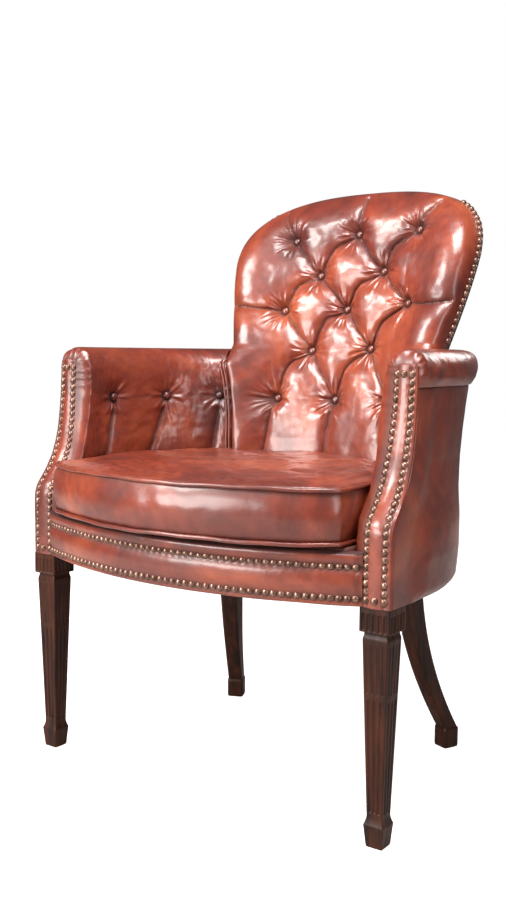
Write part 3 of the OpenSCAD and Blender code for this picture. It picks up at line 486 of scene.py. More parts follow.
for j, z in enumerate((520.0, 625.0, 730.0, 830.0)):
    far = float(back_w(z)) - 22.6
    x = np.linspace(-far, far, 120)
    laid.append(up_the_back(x, z, WEB_D + (-1) ** j * weave(x, 100), 0, WEB_W / 2))
straps("back_straps_cross", "back_webbing_cross", laid)


def bay_sheet(name, node, material, slot, columns, y_low, y_high, z, thick, sag):
    """A flat sheet across the seat frame between two limits, dipping a little in its middle."""
    Y = y_low[:, None] + (y_high - y_low)[:, None] * np.linspace(0, 1, 60)
    X = columns[:, None]
    top = z + sag(X, Y)
    upper, flat, lower = (xyz(X, Y, top + k * thick / 2) for k in (1, 0, -1))
    skin = np.concatenate([upper, lower[:, ::-1]], 1)
    flat = np.concatenate([flat, flat[:, ::-1]], 1)
    obj = grid_piece(name, [np.concatenate([flat[:1], skin, flat[-1:]])], wrap_j=True)
    finish_piece(obj, material, slot, "chair", node)


xs = np.linspace(-271.4, 271.4, 110)
rear = turn_y(RAIL_TOP) + (tub_b(RAIL_TOP) - 35) * beside(xs / 271.5)
bay_sheet("hessian_sheet", "seat_hessian", hessian, "hessian", xs, bow_y(xs) + 7, rear, 395.2, 0.7,
          lambda X, Y: 0.12 * np.sin(X / 9.0) * np.sin(Y / 11.0))
REAR_NOTCH, FRONT_NOTCH, HEM_X = (152, 212), 286, 304.5    # the dust cover is cut round the legs
half = [np.linspace(x0 + 0.1, x1 - 0.1, n) for x0, x1, n in
        ((*REAR_NOTCH, 14), (REAR_NOTCH[1], FRONT_NOTCH, 20), (FRONT_NOTCH, HEM_X, 8))]
xs = np.concatenate([-part[::-1] for part in half[::-1]] + [np.linspace(-151.9, 151.9, 60)] + half)
rear = turn_y(RAIL_Z) + (tub_b(RAIL_Z) - 28.5) * beside(xs / HEM_X)
rear = np.where((np.abs(xs) > REAR_NOTCH[0]) & (np.abs(xs) < REAR_NOTCH[1]), np.minimum(rear, 315), rear)
fore = np.where(np.abs(xs) > FRONT_NOTCH, 47.0, bow_y(xs) + 6)
bay_sheet("lining_sheet", "dust_cover", lining, "dust_cloth", xs, fore, rear, 330.4, 0.9,
          lambda X, Y: -1.1 * np.cos(np.clip(X / 300, -1, 1) * np.pi / 2) * clamp((Y + 60) / 60)
          * clamp((330 - Y) / 90) + 0.25 * np.sin(X / 23.0 + Y / 31.0))

# Front border
# Leather drawn over the bowed front rail: a padded band between two nail rows and a rolled lip.


def fbm(P, scale, seed=0.0, octaves=3):
    """Soft noise at points in millimetres."""
    return np.array([noise.fractal(Vector((x * scale + seed, y * scale - seed, z * scale)), 0.6, 2.1, octaves)
                     for x, y, z in P.reshape(-1, 3)]).reshape(P.shape[:-1])


def catmull(points, n):
    """n points along a smooth curve through points, at even steps of length."""
    p = np.asarray(points, float)
    p = np.concatenate([2 * p[:1] - p[1:2], p, 2 * p[-1:] - p[-2:-1]])
    out = []
    for a, b, c, d in zip(p, p[1:], p[2:], p[3:]):
        for u in np.linspace(0, 1, 24, endpoint=False):
            out.append(0.5 * (2 * b + (c - a) * u + (2 * a - 5 * b + 4 * c - d) * u * u
                              + (3 * b - a - 3 * c + d) * u ** 3))
    out = np.array(out + [p[-2]])
    s = lengths_along(out)
    return np.stack([np.interp(np.linspace(0, s[-1], n), s, column) for column in out.T], -1)


def leather(name, dark, mid, light):
    """Hand-rubbed hide: mottled red-brown, with shade painted into its colour in the folds, where it is also
    duller; fine grain, waxed shine.
    """
    m, t, shader = new_material(name)
    rough, coat = 0.35, 0.55
    on_hide = [("Vector", add(t, "ShaderNodeTexCoord"), "Object")]
    clouds = add(t, "ShaderNodeTexNoise", on_hide, Scale=7, Detail=5, Roughness=0.62, Distortion=0.8)
    streaks = add(t, "ShaderNodeTexNoise", on_hide, Scale=38, Detail=4)
    fine = add(t, "ShaderNodeTexNoise", on_hide, Scale=90, Detail=6)
    pores = add(t, "ShaderNodeTexVoronoi", on_hide, Scale=620)
    fold_shade = add(t, "ShaderNodeAttribute")
    fold_shade.attribute_name = "painted_shade"
    tint = add(t, "ShaderNodeMix")
    tint.data_type = "RGBA"
    tint.blend_type = "MULTIPLY"
    tint.inputs[0].default_value = 0.5
    wire(t, tint, (6, ramp_of(t, clouds, (0.28, dark), (0.5, mid), (0.78, light)), 0),
         (7, ramp_of(t, streaks, (0.3, (0.55, 0.5, 0.5)), (0.62, (1, 1, 1))), 0))
    # painted shade: the colour is darkened towards a deep brown by the per-point shade attribute
    deep = add(t, "ShaderNodeMix")
    deep.data_type = "RGBA"
    deep.inputs[7].default_value = (dark[0] * 0.22, dark[1] * 0.2, dark[2] * 0.25, 1)
    wire(t, deep, (0, fold_shade, "Fac"), (6, tint, 2))
    grain = add(t, "ShaderNodeBump", [("Height", pores, "Distance")], Strength=0.12, Distance=0.0004)
    skin = add(t, "ShaderNodeBump", [("Height", fine, 0), ("Normal", grain, 0)], Strength=0.3,
               Distance=0.0016)
    worn = add(t, "ShaderNodeMapRange", [(0, clouds, 0)], From_Min=0.3, From_Max=0.7,
               To_Min=rough + 0.1, To_Max=rough - 0.05)
    dull = add(t, "ShaderNodeMath")
    dull.operation = "MULTIPLY_ADD"
    dull.inputs[1].default_value = 0.5
    wire(t, dull, (0, fold_shade, "Fac"), (2, worn, 0))
    wax = add(t, "ShaderNodeMapRange", [(0, fold_shade, "Fac")], To_Min=coat, To_Max=0)
    wire(t, shader, ("Base Color", deep, 2), ("Normal", skin, 0), ("Roughness", dull, 0),
         ("Coat Weight", wax, 0))
    assign(shader, Coat_Roughness=0.2)
    return m


hide = leather("antiqued_hide", (0.06, 0.007, 0.004), (0.175, 0.026, 0.0115), (0.37, 0.08, 0.028))
# A darker copy of the same hide, as painted shade, for the seat deck under the cushion and the cushion's
# piping.
hide_shaded = leather("shaded_hide", (0.06, 0.007, 0.004), (0.165, 0.025, 0.0115), (0.31, 0.066, 0.025))



def upholster(obj, fill, *nodes):
    """A stuffed cover of hide on the chair; fill, how much of its outline it takes up, is not used."""
    finish_piece(obj, hide, "leather", "chair", *nodes)


def hump(x, width):
    """1 at 0, falling away to both sides."""
    return np.exp(-(x / width) ** 2)


LOW_NAIL, HIGH_NAIL, BORDER_X = 341.8, 383.8, 292.5
profile = catmull([(1.0, 331.6), (3.2, 332.8), (3.6, 336), (3.0, LOW_NAIL), (5.2, 346), (8.2, 354),
                   (9.2, 363), (8.2, 373), (5.6, 379.6), (3.2, HIGH_NAIL), (5.6, 387.6), (8.2, 391.5),
                   (9.4, 396), (8.4, 400.4), (4.5, 403.4), (-1, 405.2), (-3, 405.2)], 80)
xs = np.linspace(BORDER_X, -BORDER_X, 420)
Q, X = np.meshgrid(profile[:, 0], xs, indexing="ij")
Q = Q * (1 - 0.6 * smooth((np.abs(X) - 284) / 8))
Z = profile[:, 1:] + 0 * X
P = xyz(X, bow_y(X) - Q, Z)
rows = hump(Z - LOW_NAIL, 5) + hump(Z - HIGH_NAIL, 5)
pucker = 0.45 * rows * np.cos(2 * np.pi * arc_to(X) / 11.37)
soft = 0.9 * fbm(P, 0.011, 4.0) + 0.12 * fbm(P, 0.05, 9.0)
inner = clamp((Z - 333) / 6) * (1 - clamp((Z - 402) / 3))
P[..., 1] -= (soft - pucker) * inner
# painted shade in the hide's colour along both nail rows, where the leather dimples between the heads, and
# over the lip's top as the shadow under the cushion
obj = grid_piece("front_border_leather", [P], 0.85 * np.maximum(rows, smooth((Z - 398.5) / 4)))
upholster(obj, 0.7, "front_border")

# Seat deck
# Leather-covered stuffed deck under the loose cushion, sewn to the border and the inside covers.
deck_w = HALF_W - ARM_D - GAP
rear = round_back(deck_w, tub_b(PAD_Z) - BACK_D - GAP, np.linspace(np.pi, 0, 60)) + (0, turn_y(PAD_Z))
xs = np.linspace(1, -1, 60) * deck_w
edge = np.concatenate([rear, np.stack([xs, bow_y(xs) + 3.3], -1)])[::-1]
centre = np.array([0.0, 110.0])
rings = [(1.0, PAD_Z), (1.0, DECK_Z - 4), (0.992, DECK_Z - 1.2), (0.975, DECK_Z - 0.2)]
rings += [(f, DECK_Z) for f in (0.9, 0.8, 0.65, 0.5, 0.35, 0.2, 0.08, 0.01)]
P = np.array([np.column_stack([centre + (edge - centre) * f, np.full(len(edge), z)]) for f, z in rings])
P[4:, :, 2] -= np.abs(1.2 * fbm(P[4:], 0.02, 2.0))
# painted shade at half strength over the whole deck, as the shadow under the cushion
obj = grid_piece("seat_deck_leather", [P], np.full(P.shape[:2], 0.5), wrap_j=True)
finish_piece(obj, hide_shaded, "leather", "chair", "seat_deck")

# Inside back
# Deep-buttoned hide over hair and wadding: diamond pleats between the buttons, carried over the
# frame's edge all round and nailed behind. SHIFTS says how far each button was tied off its mark.
TUFT_Z = 879 - np.array([0, 71, 134, 206, 293.0])
TUFT_DEEP, HALF_TUFT = 24, 47.0
FREE_Z = 640                            # above this the back stands free of the arms
SHIFTS = [(3, -8), (3, -1), (0, 0), (-2, -3), (3, 1), (-2, -3), (0, -2), (4, 7), (0, -4), (0, 0), (7, -3),
          (3, -3), (0, 0)]


def tuft_x(z):
    """Spacing of the buttons along a row."""
    return 127 * (1 - 0.00027 * (TUFT_Z[0] - z))


BUTTONS = [((i - 1 + k % 2 / 2) * float(tuft_x(z)), float(z))
           for k, z in enumerate(TUFT_Z) for i in range(3 - k % 2)]


def edge_in(x, z):
    """How far a point lies inside the back's outline."""
    side = seam_w(np.minimum(z, SHOULDER_Z)) - np.abs(x)
    lo, hi = np.full_like(x, -5.0), np.full_like(x, 92.0)
    for _ in range(26):
        e = (lo + hi) / 2
        inside = (np.abs(x) / (SHOULDER_W - e)) ** ARCH_N \
            + (np.maximum(z - SHOULDER_Z, 0) / (ARCH_H - e)) ** ARCH_N < 1
        lo, hi = np.where(inside, e, lo), np.where(inside, hi, e)
    return np.where(z > SHOULDER_Z, lo, side)


def arch(m, width=HALF_TUFT):
    """Height of a stuffed tuft at m from its pleat, from 0 to 1."""
    return np.sqrt(1 - (1 - clamp(m / width)) ** 2.2)


def tufting(x, z):
    """Depth in millimetres below the pad's crowns, and the shade painted in where a point lies deep in a
    pleat or pit.
    """
    pull = [np.exp(-((x - bx - sx) ** 2 + (z - bz - sz) ** 2) / 1100)
            for (bx, bz), (sx, sz) in zip(BUTTONS, SHIFTS)]
    x = x - sum(w * sx for w, (sx, _) in zip(pull, SHIFTS))
    z = z - sum(w * sz for w, (_, sz) in zip(pull, SHIFTS))
    far = np.min([np.hypot(x - bx, z - bz) for bx, bz in BUTTONS], axis=0)
    P = xyz(x, 0, z)
    loose = 2.6 * smooth((far - 5) / 25)
    x = x + loose * fbm(P, 0.018, 41.0)
    z = z + loose * fbm(P, 0.018, 43.0)
    # the diamonds: pleats run where either slanting count of tufts is whole
    u = x / tuft_x(z)
    c = np.clip(u, -1, 1)
    q = np.interp(-z, -TUFT_Z, np.arange(5.0))
    A, B = (2 * c + q) / 2, (2 * c - q) / 2
    A = A + 0.15 * np.sin(np.pi * B) ** 2 * (1 - smooth(clamp(np.abs(u) - 1) * 5))
    from_a, from_b = (2 * HALF_TUFT * np.abs(count - np.round(count)) for count in (A, B))
    beyond = (np.abs(x) - tuft_x(z), z - TUFT_Z[0], TUFT_Z[4] - z)
    away = np.sqrt(sum(np.maximum(gap, 0) ** 2 for gap in beyond))
    keep = np.exp(-(away / 24) ** 1.4)
    tight = 0.74 + 0.26 * hump(far, 22)
    depth = TUFT_DEEP * (1 - arch(from_a) * arch(from_b)) * tight * keep
    fold_shade = np.maximum(0.95 * np.exp(-from_a / 1.8), 0.55 * np.exp(-from_b / 2.2)) * keep
    # single pleats from the outer buttons to the edge
    top, third, base = (float(tuft_x(TUFT_Z[k])) for k in (0, 2, 4))
    runs = [((s * top, TUFT_Z[0]), (s * (top + 38), 940.0), 17) for s in (-1, 1)]
    runs += [((0, TUFT_Z[0]), (9, BACK_H), 17)]
    runs += [((s * third, TUFT_Z[2]), (s * 232, 752.0), 14) for s in (-1, 1)]
    runs += [((bx, TUFT_Z[4]), (bx * 1.03, PAD_Z), 15) for bx in (-base, 0.0, base)]
    for (x0, z0), (x1, z1), deep in runs:
        length = math.hypot(x1 - x0, z1 - z0)
        ux, uz = (x1 - x0) / length, (z1 - z0) / length
        on = (x - x0) * ux + (z - z0) * uz
        off = np.abs((x - x0) * uz - (z - z0) * ux)
        live = smooth(on / 8 + 0.5) * (1 - 0.25 * smooth(on / length))
        depth = np.maximum(depth, deep * live * (1 - arch(off, 34 + 0.12 * on)))
        fold_shade = np.maximum(fold_shade, 0.9 * np.exp(-off / 1.9) * live)
    # pits and small gathers at the buttons
    wrinkle = np.zeros_like(x)
    for i, (bx, bz) in enumerate(BUTTONS):
        dx, dz = x - bx, z - bz
        r = np.sqrt(dx * dx + dz * dz) + 1e-6
        a = np.arctan2(dz, dx)
        rays = 0.9 * np.sin(7 * a + i) + 0.7 * np.sin(13 * a + 2.3 * i) + 0.5 * np.sin(21 * a + i * i)
        wrinkle += hump(r - 20, 14) * rays
        depth = np.maximum(depth, TUFT_DEEP * np.exp(-(np.maximum(r - 5, 0) / 15) ** 1.3))
        fold_shade = np.maximum(fold_shade, 0.92 * hump(np.maximum(r - 6.5, 0), 4))
    return depth + wrinkle, fold_shade


def edge_roll(e, z):
    """How far the padding falls away towards the back's edge: deeply above the arms, little below."""
    above = smooth((z - FREE_Z) / 45)
    k = clamp(e / (26 + 36 * above))
    return (12 + 41 * above) * (1 - np.sqrt(1 - (1 - k) ** 2))


def outline(n_top, n_base):
    """The back's outline from the lower right corner up, over and down, then along its base."""
    foot = PAD_Z + 2
    zs = np.linspace(foot, SHOULDER_Z, 400, endpoint=False)
    up = np.stack([seam_w(zs), zs], -1)
    t = np.linspace(0, np.pi, 1601)
    r = ((np.abs(np.cos(t)) / SHOULDER_W) ** ARCH_N + (np.sin(t) / ARCH_H) ** ARCH_N) ** (-1 / ARCH_N)
    over = np.stack([r * np.cos(t), SHOULDER_Z + r * np.sin(t)], -1)
    path = np.concatenate([up, over, (up * (-1, 1))[::-1]])
    far = lengths_along(path)
    path = np.stack([np.interp(np.linspace(0, far[-1], n_top), far, column) for column in path.T], -1)
    base = np.linspace(-1, 1, n_base + 2)[1:-1] * seam_w(foot)
    return np.concatenate([path, np.stack([base, np.full(n_base, foot)], -1)])


ring = outline(640, 120)
centre = np.array([0.0, 690.0])
f = np.linspace(0.002, 1, 220)[:-1]
f = np.concatenate([f, 1 - (1 - f[-1]) * np.array([0.75, 0.5, 0.3, 0.15, 0.05, 0.0])])
X, Z = np.moveaxis(centre + (ring - centre) * f[:, None, None], -1, 0)
E = edge_in(X, Z)
E[-1] = np.where(ring[:, 1] > PAD_Z + 2.5, 0, E[-1])
depth, fold_shade = tufting(X, Z)
near = smooth((E - 1) / 13)
D = BACK_D - edge_roll(E, Z) - depth * near
P = on_back(X, Z, D)
P[..., 1] -= 1.1 * fbm(P, 0.016, 1.0) * near
behind = 42 - 36.4 * smooth((ring[:, 1] - FREE_Z) / 16)
wraps = np.array([on_back(ring[:, 0], ring[:, 1], D[-1] * (1 - k) + behind * k) for k in (0.1, 0.3, 0.6, 1)])
# painted shade, growing as the hide wraps over the edge to behind
shade = np.zeros((4, len(ring))) + np.array([0, 0.15, 0.35, 0.5])[:, None]
obj = grid_piece("inside_back_leather", [np.concatenate([P, wraps])], np.concatenate([fold_shade * near, shade]),
                 wrap_j=True)
upholster(obj, 0.9, "inside_back_pad", "back_edge_roll")

# Back buttons
# Leather-covered buttons tied through the pad with twine.


def stand(P, place, normal, spin):
    """Points P, drawn about +Z, stood at place with +Z along normal."""
    n = normal / np.linalg.norm(normal)
    a = np.cross([0.3, 0.2, 1.0] if abs(n[2]) < 0.9 else [1.0, 0, 0], n)
    a /= np.linalg.norm(a)
    b = np.cross(n, a)
    c, s = math.cos(spin), math.sin(spin)
    return place + P[..., :1] * (c * a + s * b) + P[..., 1:2] * (c * b - s * a) + P[..., 2:] * n


def turned(profile, sides):
    """A turned shape from radius and height pairs."""
    a = np.linspace(0, 2 * np.pi, sides, endpoint=False)
    p = np.asarray(profile, float)
    return xyz(p[:, :1] * np.cos(a), p[:, :1] * np.sin(a), p[:, 1:])


def scattered(name, places, shape, material, slot, node, seed, wobble):
    """One piece of many copies of a shape, each at a place and normal and a little askew."""
    rng = np.random.default_rng(seed)
    grids = []
    for place, normal in places:
        askew = np.asarray(normal, float) / np.linalg.norm(normal) + wobble * rng.normal(size=3)
        grids.append(stand(shape, np.asarray(place), askew, rng.uniform(0, 6.3)))
    obj = grid_piece(name, grids, np.zeros(np.shape(grids)[:-1]), wrap_j=True, flip=True)
    finish_piece(obj, material, slot, "chair", node)


def back_normal(x, z):
    """Straight out of the inside back."""
    across = on_back(x + 2, z, BACK_D) - on_back(x - 2, z, BACK_D)
    n = np.cross(across, on_back(x, z + 2, BACK_D) - on_back(x, z - 2, BACK_D))
    return n / np.linalg.norm(n)


button = turned(catmull([(0.05, 5.6), (1.8, 5.5), (3.5, 5.0), (5.0, 4.1), (6.2, 2.9), (6.9, 1.8), (7.1, 1.0),
                         (6.8, 0.2), (5.5, -0.3), (3, -0.5)], 16), 32)
hide_button = leather("button_hide", (0.045, 0.006, 0.004), (0.11, 0.018, 0.009), (0.2, 0.045, 0.02))
marks = [(x + sx, z + sz) for (x, z), (sx, sz) in zip(BUTTONS, SHIFTS)]
places = [(on_back(x, z, BACK_D - TUFT_DEEP + 0.4), back_normal(x, z)) for x, z in marks]
scattered("back_button_domes", places, button, hide_button, "buttons", "back_buttons", 3, 0.05)

# Outside back
# Plain hide over board, closed down the edges by the nails.
k = 1 - (1 - np.linspace(0, 1, 26)) ** 2.4
rows = np.concatenate([np.linspace(SKIRT_Z, SKIRT_Z + 14, 10), np.linspace(352, SHOULDER_Z, 60)[:-1],
                       SHOULDER_Z + (ARCH_H - 0.02) * k])[:, None]
across = np.linspace(1, -1, 90)


def under(z):
    """How far the outside covers are gathered in under the seat frame."""
    return 8 * (1 - clamp((z - SKIRT_Z) / 14)) ** 2


def plate(d):
    """The whole outside back at depth d."""
    narrowing = (1 - clamp((rows - SHOULDER_Z) / ARCH_H) ** ARCH_N) ** (1 / ARCH_N)
    w = np.where(rows <= SHOULDER_Z, back_w(rows), SHOULDER_W * narrowing)
    return on_back(across * w, rows, d + under(rows))


outer = plate(0.0)
inland = np.minimum(smooth((1 - np.abs(across)) / 0.06), 1)
outer[..., 1] += 0.9 * fbm(outer, 0.01, 3.0) * inland - 2.0 * (1 - inland)
P = np.concatenate([outer, plate(5.0)[::-1]])
obj = grid_piece("outside_back_leather", [P], np.zeros(P.shape[:2]), wrap_i=True, flip=True)
upholster(obj, 0.9, "outside_back_panel")

# Inside arms
# Padded hide from the deck up over the arm rail and down to the outside seam, three buttons each.


def on_arm(v, z, d, start=0.0):
    """Points on the arm: v is 0 at the front, 1 where the tub turns and 2 at the back."""
    v, z, d = np.broadcast_arrays(v, z, d)
    front = sweep_y(z) + 4.3
    k = start / (turn_y(z) - front) + (1 - start / (turn_y(z) - front)) * clamp(v)
    a = tub_a(z) - d
    w = back_w(z) + (seam_w(z) - back_w(z)) * smooth((d - 30) / 20)
    t = np.maximum(v - 1, 0) * np.arccos(clamp((w + 0.6) / a) ** (N / 2))
    x = np.where(v < 1, HALF_W + (straight_a(z) - HALF_W) * k + bulge(z) * smooth((k - 0.45) / 0.55) - d,
                 a * np.cos(t) ** (2 / N))
    y = np.where(v < 1, front + (turn_y(z) - front) * k,
                 turn_y(z) + (tub_b(z) - d) * np.abs(np.sin(t)) ** (2 / N))
    return xyz(x, y, z)


BUTTON_Z, ARM_TUFT = 587.0, 11.0
BUTTON_V = (0.97, 1.44, 1.885)
PITS, LEANS = (13.0, 11.0, 10.0), (0.02, 0.25, 0.13)       # of the three buttons' pits and pleats
SEAM_Z = 620.2
n_v, n_p = ((250, 170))
V = np.concatenate([(np.linspace(0, 1, n_v // 5) ** 2 * 0.28)[:-1], np.linspace(0.28, 2, n_v - n_v // 5 + 1)])
cap = catmull([(61.5, 396), (61.5, 440), (61.5, 500), (61.5, 560), (61.2, 606), (59.5, 634), (54.0, 653),
               (44.5, 665.5), (31, 671.8), (18, 671.5), (5.5, 667), (-2.6, 659), (-6.8, 647), (-6.2, 633),
               (-2.0, 622.5), (1.6, SEAM_Z)], n_p)
D0, Z0 = cap[:, :1] + 0 * V, cap[:, 1:] + 0 * V
S = lengths_along(on_arm(V, BUTTON_Z, ARM_D))
along = S + 0 * Z0
inner_wall = 1 - smooth((cap[:, 1:] - 628) / 30)
inner_wall[np.argmax(cap[:, 1]) + 1:] = 0


def arm_cover(side, seed):
    """Inside arm: pits and pleats at the buttons, gathers round the front end, and shade painted into the
    pits, pleats, gathers and foot.
    """
    depth = np.zeros_like(Z0)
    fold_shade = np.zeros_like(Z0)
    for i, v in enumerate(BUTTON_V):
        ds, dz = along - float(np.interp(v, V, S)), Z0 - BUTTON_Z
        r = np.hypot(ds, dz) + 1e-6
        pit = PITS[i] * np.exp(-(np.maximum(r - 6, 0) / 19) ** 1.15)
        down = smooth(-dz / 30)
        off = np.abs(ds - LEANS[i] * dz)
        pleat = (6.0 * np.exp(-off / 4.5) + 7.5 * np.exp(-off / 22)) * down
        above = np.exp(-(np.maximum(dz, 0) / 30) ** 1.5) * (dz > 0)
        pleat = np.maximum(pleat, (3.6 * np.exp(-np.abs(ds) / 4) + 4.5 * np.exp(-np.abs(ds) / 18)) * above)
        a = np.arctan2(dz, ds)
        rays = hump(r - 19, 14) * (np.sin(8 * a + seed + i) + 0.7 * np.sin(14 * a + 2 * i + seed))
        depth = np.maximum(depth, np.maximum(pit, pleat)) + rays
        fold_shade = np.maximum(fold_shade, 0.85 * np.exp(-off / 2.6) * down)
        fold_shade = np.maximum(fold_shade, 0.9 * hump(np.maximum(r - 7.5, 0), 4))
        fold_shade = np.maximum(fold_shade, 0.6 * np.exp(-np.abs(ds) / 2.6) * above)
    # a level crease from the first button to the last
    first, last = np.interp((BUTTON_V[0], BUTTON_V[-1]), V, S)
    between = smooth((along - first + 25) / 25) * (1 - smooth((along - last - 5) / 20))
    drift = 2 * fbm(xyz(along, 0, 0), 0.03, seed)
    off = np.abs(Z0 - BUTTON_Z - drift) * between ** 0.1
    depth = np.maximum(depth, 3.0 * between * np.exp(-off / 9)) * inner_wall
    fold_shade = np.maximum(fold_shade, 0.4 * between * np.exp(-off / 1.8)) * inner_wall
    # soft unevenness, ruckled near both ends
    P = on_arm(V, Z0, D0 - depth)
    soft = fbm(P * (1, 1, 1.5), 0.014, 3.0 + seed)
    ruck = fbm(P * (1, 1, 0.35), 0.055, 7.0 + seed)
    ends = np.exp(-along / 26) + 0.7 * np.exp(-(S[-1] - along) / 22)
    D = D0 - depth - 1.5 * soft - (0.45 + 1.2 * ends) * ruck
    P = on_arm(V, Z0, np.where(D0 > 60, np.minimum(D, ARM_D + 0.5), D))
    # round the front end in towards the facing's outline
    k = clamp(along / 12.0)
    f = np.sqrt(clamp(1 - (1 - k) ** 2))
    core = on_arm(V, np.minimum(Z0, 648), np.clip(D0, 4, 41 * taper(Z0)))
    P = core + (P - core) * f[..., None]
    P[..., 1] -= 3.4 * (1 - f) * (1 - k)
    gather = hump(k - 0.45, 0.4) * clamp((Z0 - 560) / 60)
    arc = lengths_along(cap)[:, None]
    ripple = gather * np.sin(arc / 2.6 + 2 * np.sin(arc / 11 + seed))
    P[..., 1] += 0.8 * ripple
    P[..., 2] -= 0.5 * ripple
    fold_shade = np.maximum(fold_shade, 0.5 * hump(k, 0.12))
    foot = np.exp(-(Z0 - 396) / 9) * (D0 > 55)
    return P * (side, 1, 1), np.maximum(fold_shade, 0.6 * foot)


for side, name in SIDES:
    P, fold_shade = arm_cover(side, side * 1.7)
    obj = grid_piece("inside_arm_leather_" + name, [P], fold_shade, flip=side > 0)
    upholster(obj, 0.85, "inside_arm_pad_" + name)
    places = [(on_arm(v, BUTTON_Z, ARM_D - ARM_TUFT + 0.4) * (side, 1, 1),
               (on_arm(v, BUTTON_Z, 60.0) - on_arm(v, BUTTON_Z, 30.0)) * (side, 1, 1)) for v in BUTTON_V]
    scattered("arm_button_domes_" + name, places, button, hide_button, "buttons", "arm_buttons_" + name,
              6, 0.05)

# Outside arms
# Hide over board from the arm's roll to the seat frame, gathered under at the lower edge.
zs = np.concatenate([SKIRT_Z + 16 * np.linspace(0, 1, 20) ** 1.3, np.linspace(350, SEAM_Z, 90)])
Vo, Zo = np.meshgrid(np.concatenate([np.linspace(0, 0.3, 14)[:-1], np.linspace(0.3, 2, 190)]), zs)
back_of_leg = clamp(3 * Vo - 1.8)
tuck = under(Zo) * back_of_leg
corner = 3.6 * (1 - np.sqrt(clamp(1 - (1 - clamp(Vo / 0.045)) ** 2)))
So = np.interp(Vo, V, S) * 1.12
hem = hump(Zo - SKIRT_Z - 5, 6) * back_of_leg
seam = np.exp(-(SEAM_Z - Zo) / 3)
for side, name in SIDES:
    soft = fbm(on_arm(Vo, Zo, tuck), 0.009, 5.0 + side)
    folds = np.sin(So / 3.1 + 1.5 * np.sin(So / 17.0) + side) * (0.6 + 0.4 * np.sin(So / 9.1))
    d = tuck + corner - soft * smooth((Zo - 340) / 30) + 0.6 * hem * folds + 1.2 * seam
    P = np.concatenate([on_arm(Vo, Zo, d, 0.2), on_arm(Vo, Zo, tuck + 5, 0.2)[::-1]]) * (side, 1, 1)
    # painted shade in the hem's gathers and under the seam at the arm's roll
    fold_shade = np.concatenate([0.4 * hem * clamp(folds) + 0.5 * seam, 0 * hem])
    obj = grid_piece("outside_arm_leather_" + name, [P], fold_shade, wrap_i=True, flip=side < 0)
    upholster(obj, 0.9, "outside_arm_panel_" + name)

# Welts
# Piping of the same hide, sewn in a double row where each inside arm meets the inside back.


def tube(path, radius, lumps, sides=12, closed=False):
    """A welt's round section carried along a path, with slight gathers."""
    t = (np.roll(path, -1, 0) - np.roll(path, 1, 0)) if closed else np.gradient(path, axis=0)
    t /= np.linalg.norm(t, axis=1)[:, None]
    a = np.cross(t, [0.0, 0.0, 1.0] if np.abs(t[:, 2]).mean() < 0.6 else [1.0, 0.3, 0.0])
    a /= np.linalg.norm(a, axis=1)[:, None]
    b = np.cross(a, t)
    w = np.linspace(0, 2 * np.pi, sides, endpoint=False)[:, None]
    s = np.arange(len(path))
    r = radius * (1 + lumps * (np.sin(s * 1.9) * 0.5 + np.sin(s * 0.73) * 0.5))
    return path[:, None] + r[:, None, None] * (a[:, None] * np.cos(w) + b[:, None] * np.sin(w))


for side, name in SIDES:
    zs = np.linspace(PAD_Z + 2, 669, 110)
    sunk = ARM_D + 1.0 - 34 * smooth((zs - FREE_Z) / 34)
    pair = [tube(on_back(seam_w(zs) + off, zs, sunk), 2.1, 0.04) * (side, 1, 1) for off in (2.0, 6.2)]
    # an even, light painted shade over both welts
    obj = grid_piece("arm_back_welt_" + name, pair, np.full(np.shape(pair)[:-1], 0.1), wrap_j=True,
                     flip=side > 0)
    finish_piece(obj, hide, "piping", "chair", "back_arm_welt_" + name)

# Arm facings
# Narrow padded strips following the arm's sweep, held by two rows of nails meeting over the top.
OUTER_D, INNER_D, NAIL_PITCH = 9, 36, 11.1
zs = np.linspace(SKIRT_Z, 652, 300)
arc = lengths_along(np.stack([sweep_y(zs), zs], -1))
strip = catmull([(-0.4, 4.6), (-0.2, 2.6), (1.0, 0.9), (4, 0.0), (OUTER_D, 0.2), (14, -1.3), (22.5, -2.3),
                 (31, -1.3), (INNER_D, 0.2), (39, 0.0), (41.4, 0.9), (42.4, 2.6), (42.4, 4.6)], 60)
Df, Zf = np.meshgrid(strip[:, 0], zs)
Yf = strip[:, 1] + 0 * Zf
slope = (sweep_y(Zf + 1) - sweep_y(Zf - 1)) / 2
steep = np.sqrt(1 + slope ** 2)
rows = hump(Df - OUTER_D, 4.5) + hump(Df - INNER_D, 4.5)
dimple = 0.45 * rows * np.cos(2 * np.pi * (arc[:, None] - np.interp(LOW_NAIL, zs, arc)) / NAIL_PITCH)
rounding = np.sqrt(clamp(1 - clamp((Zf - 640) / 12) ** 2))
Xf = HALF_W - (21 + (Df - 21) * (0.72 + 0.28 * rounding)) * taper(Zf)
for side, name in SIDES:
    base = xyz(Xf, sweep_y(Zf) + Yf, Zf)
    soft = 0.7 * fbm(base, 0.02, 12.0 + side) * clamp(3.5 - np.abs(Yf - 0.5))
    lift = Yf - dimple - soft
    P = xyz(Xf, sweep_y(Zf) + lift / steep, Zf - lift * slope / steep * (Yf < 2))
    P[-1, :, 1] += 2.5
    # painted shade along both nail rows
    obj = grid_piece("arm_facing_leather_" + name, [P * (side, 1, 1)], 0.5 * rows, flip=side < 0)
    upholster(obj, 0.8, "arm_facing_" + name)

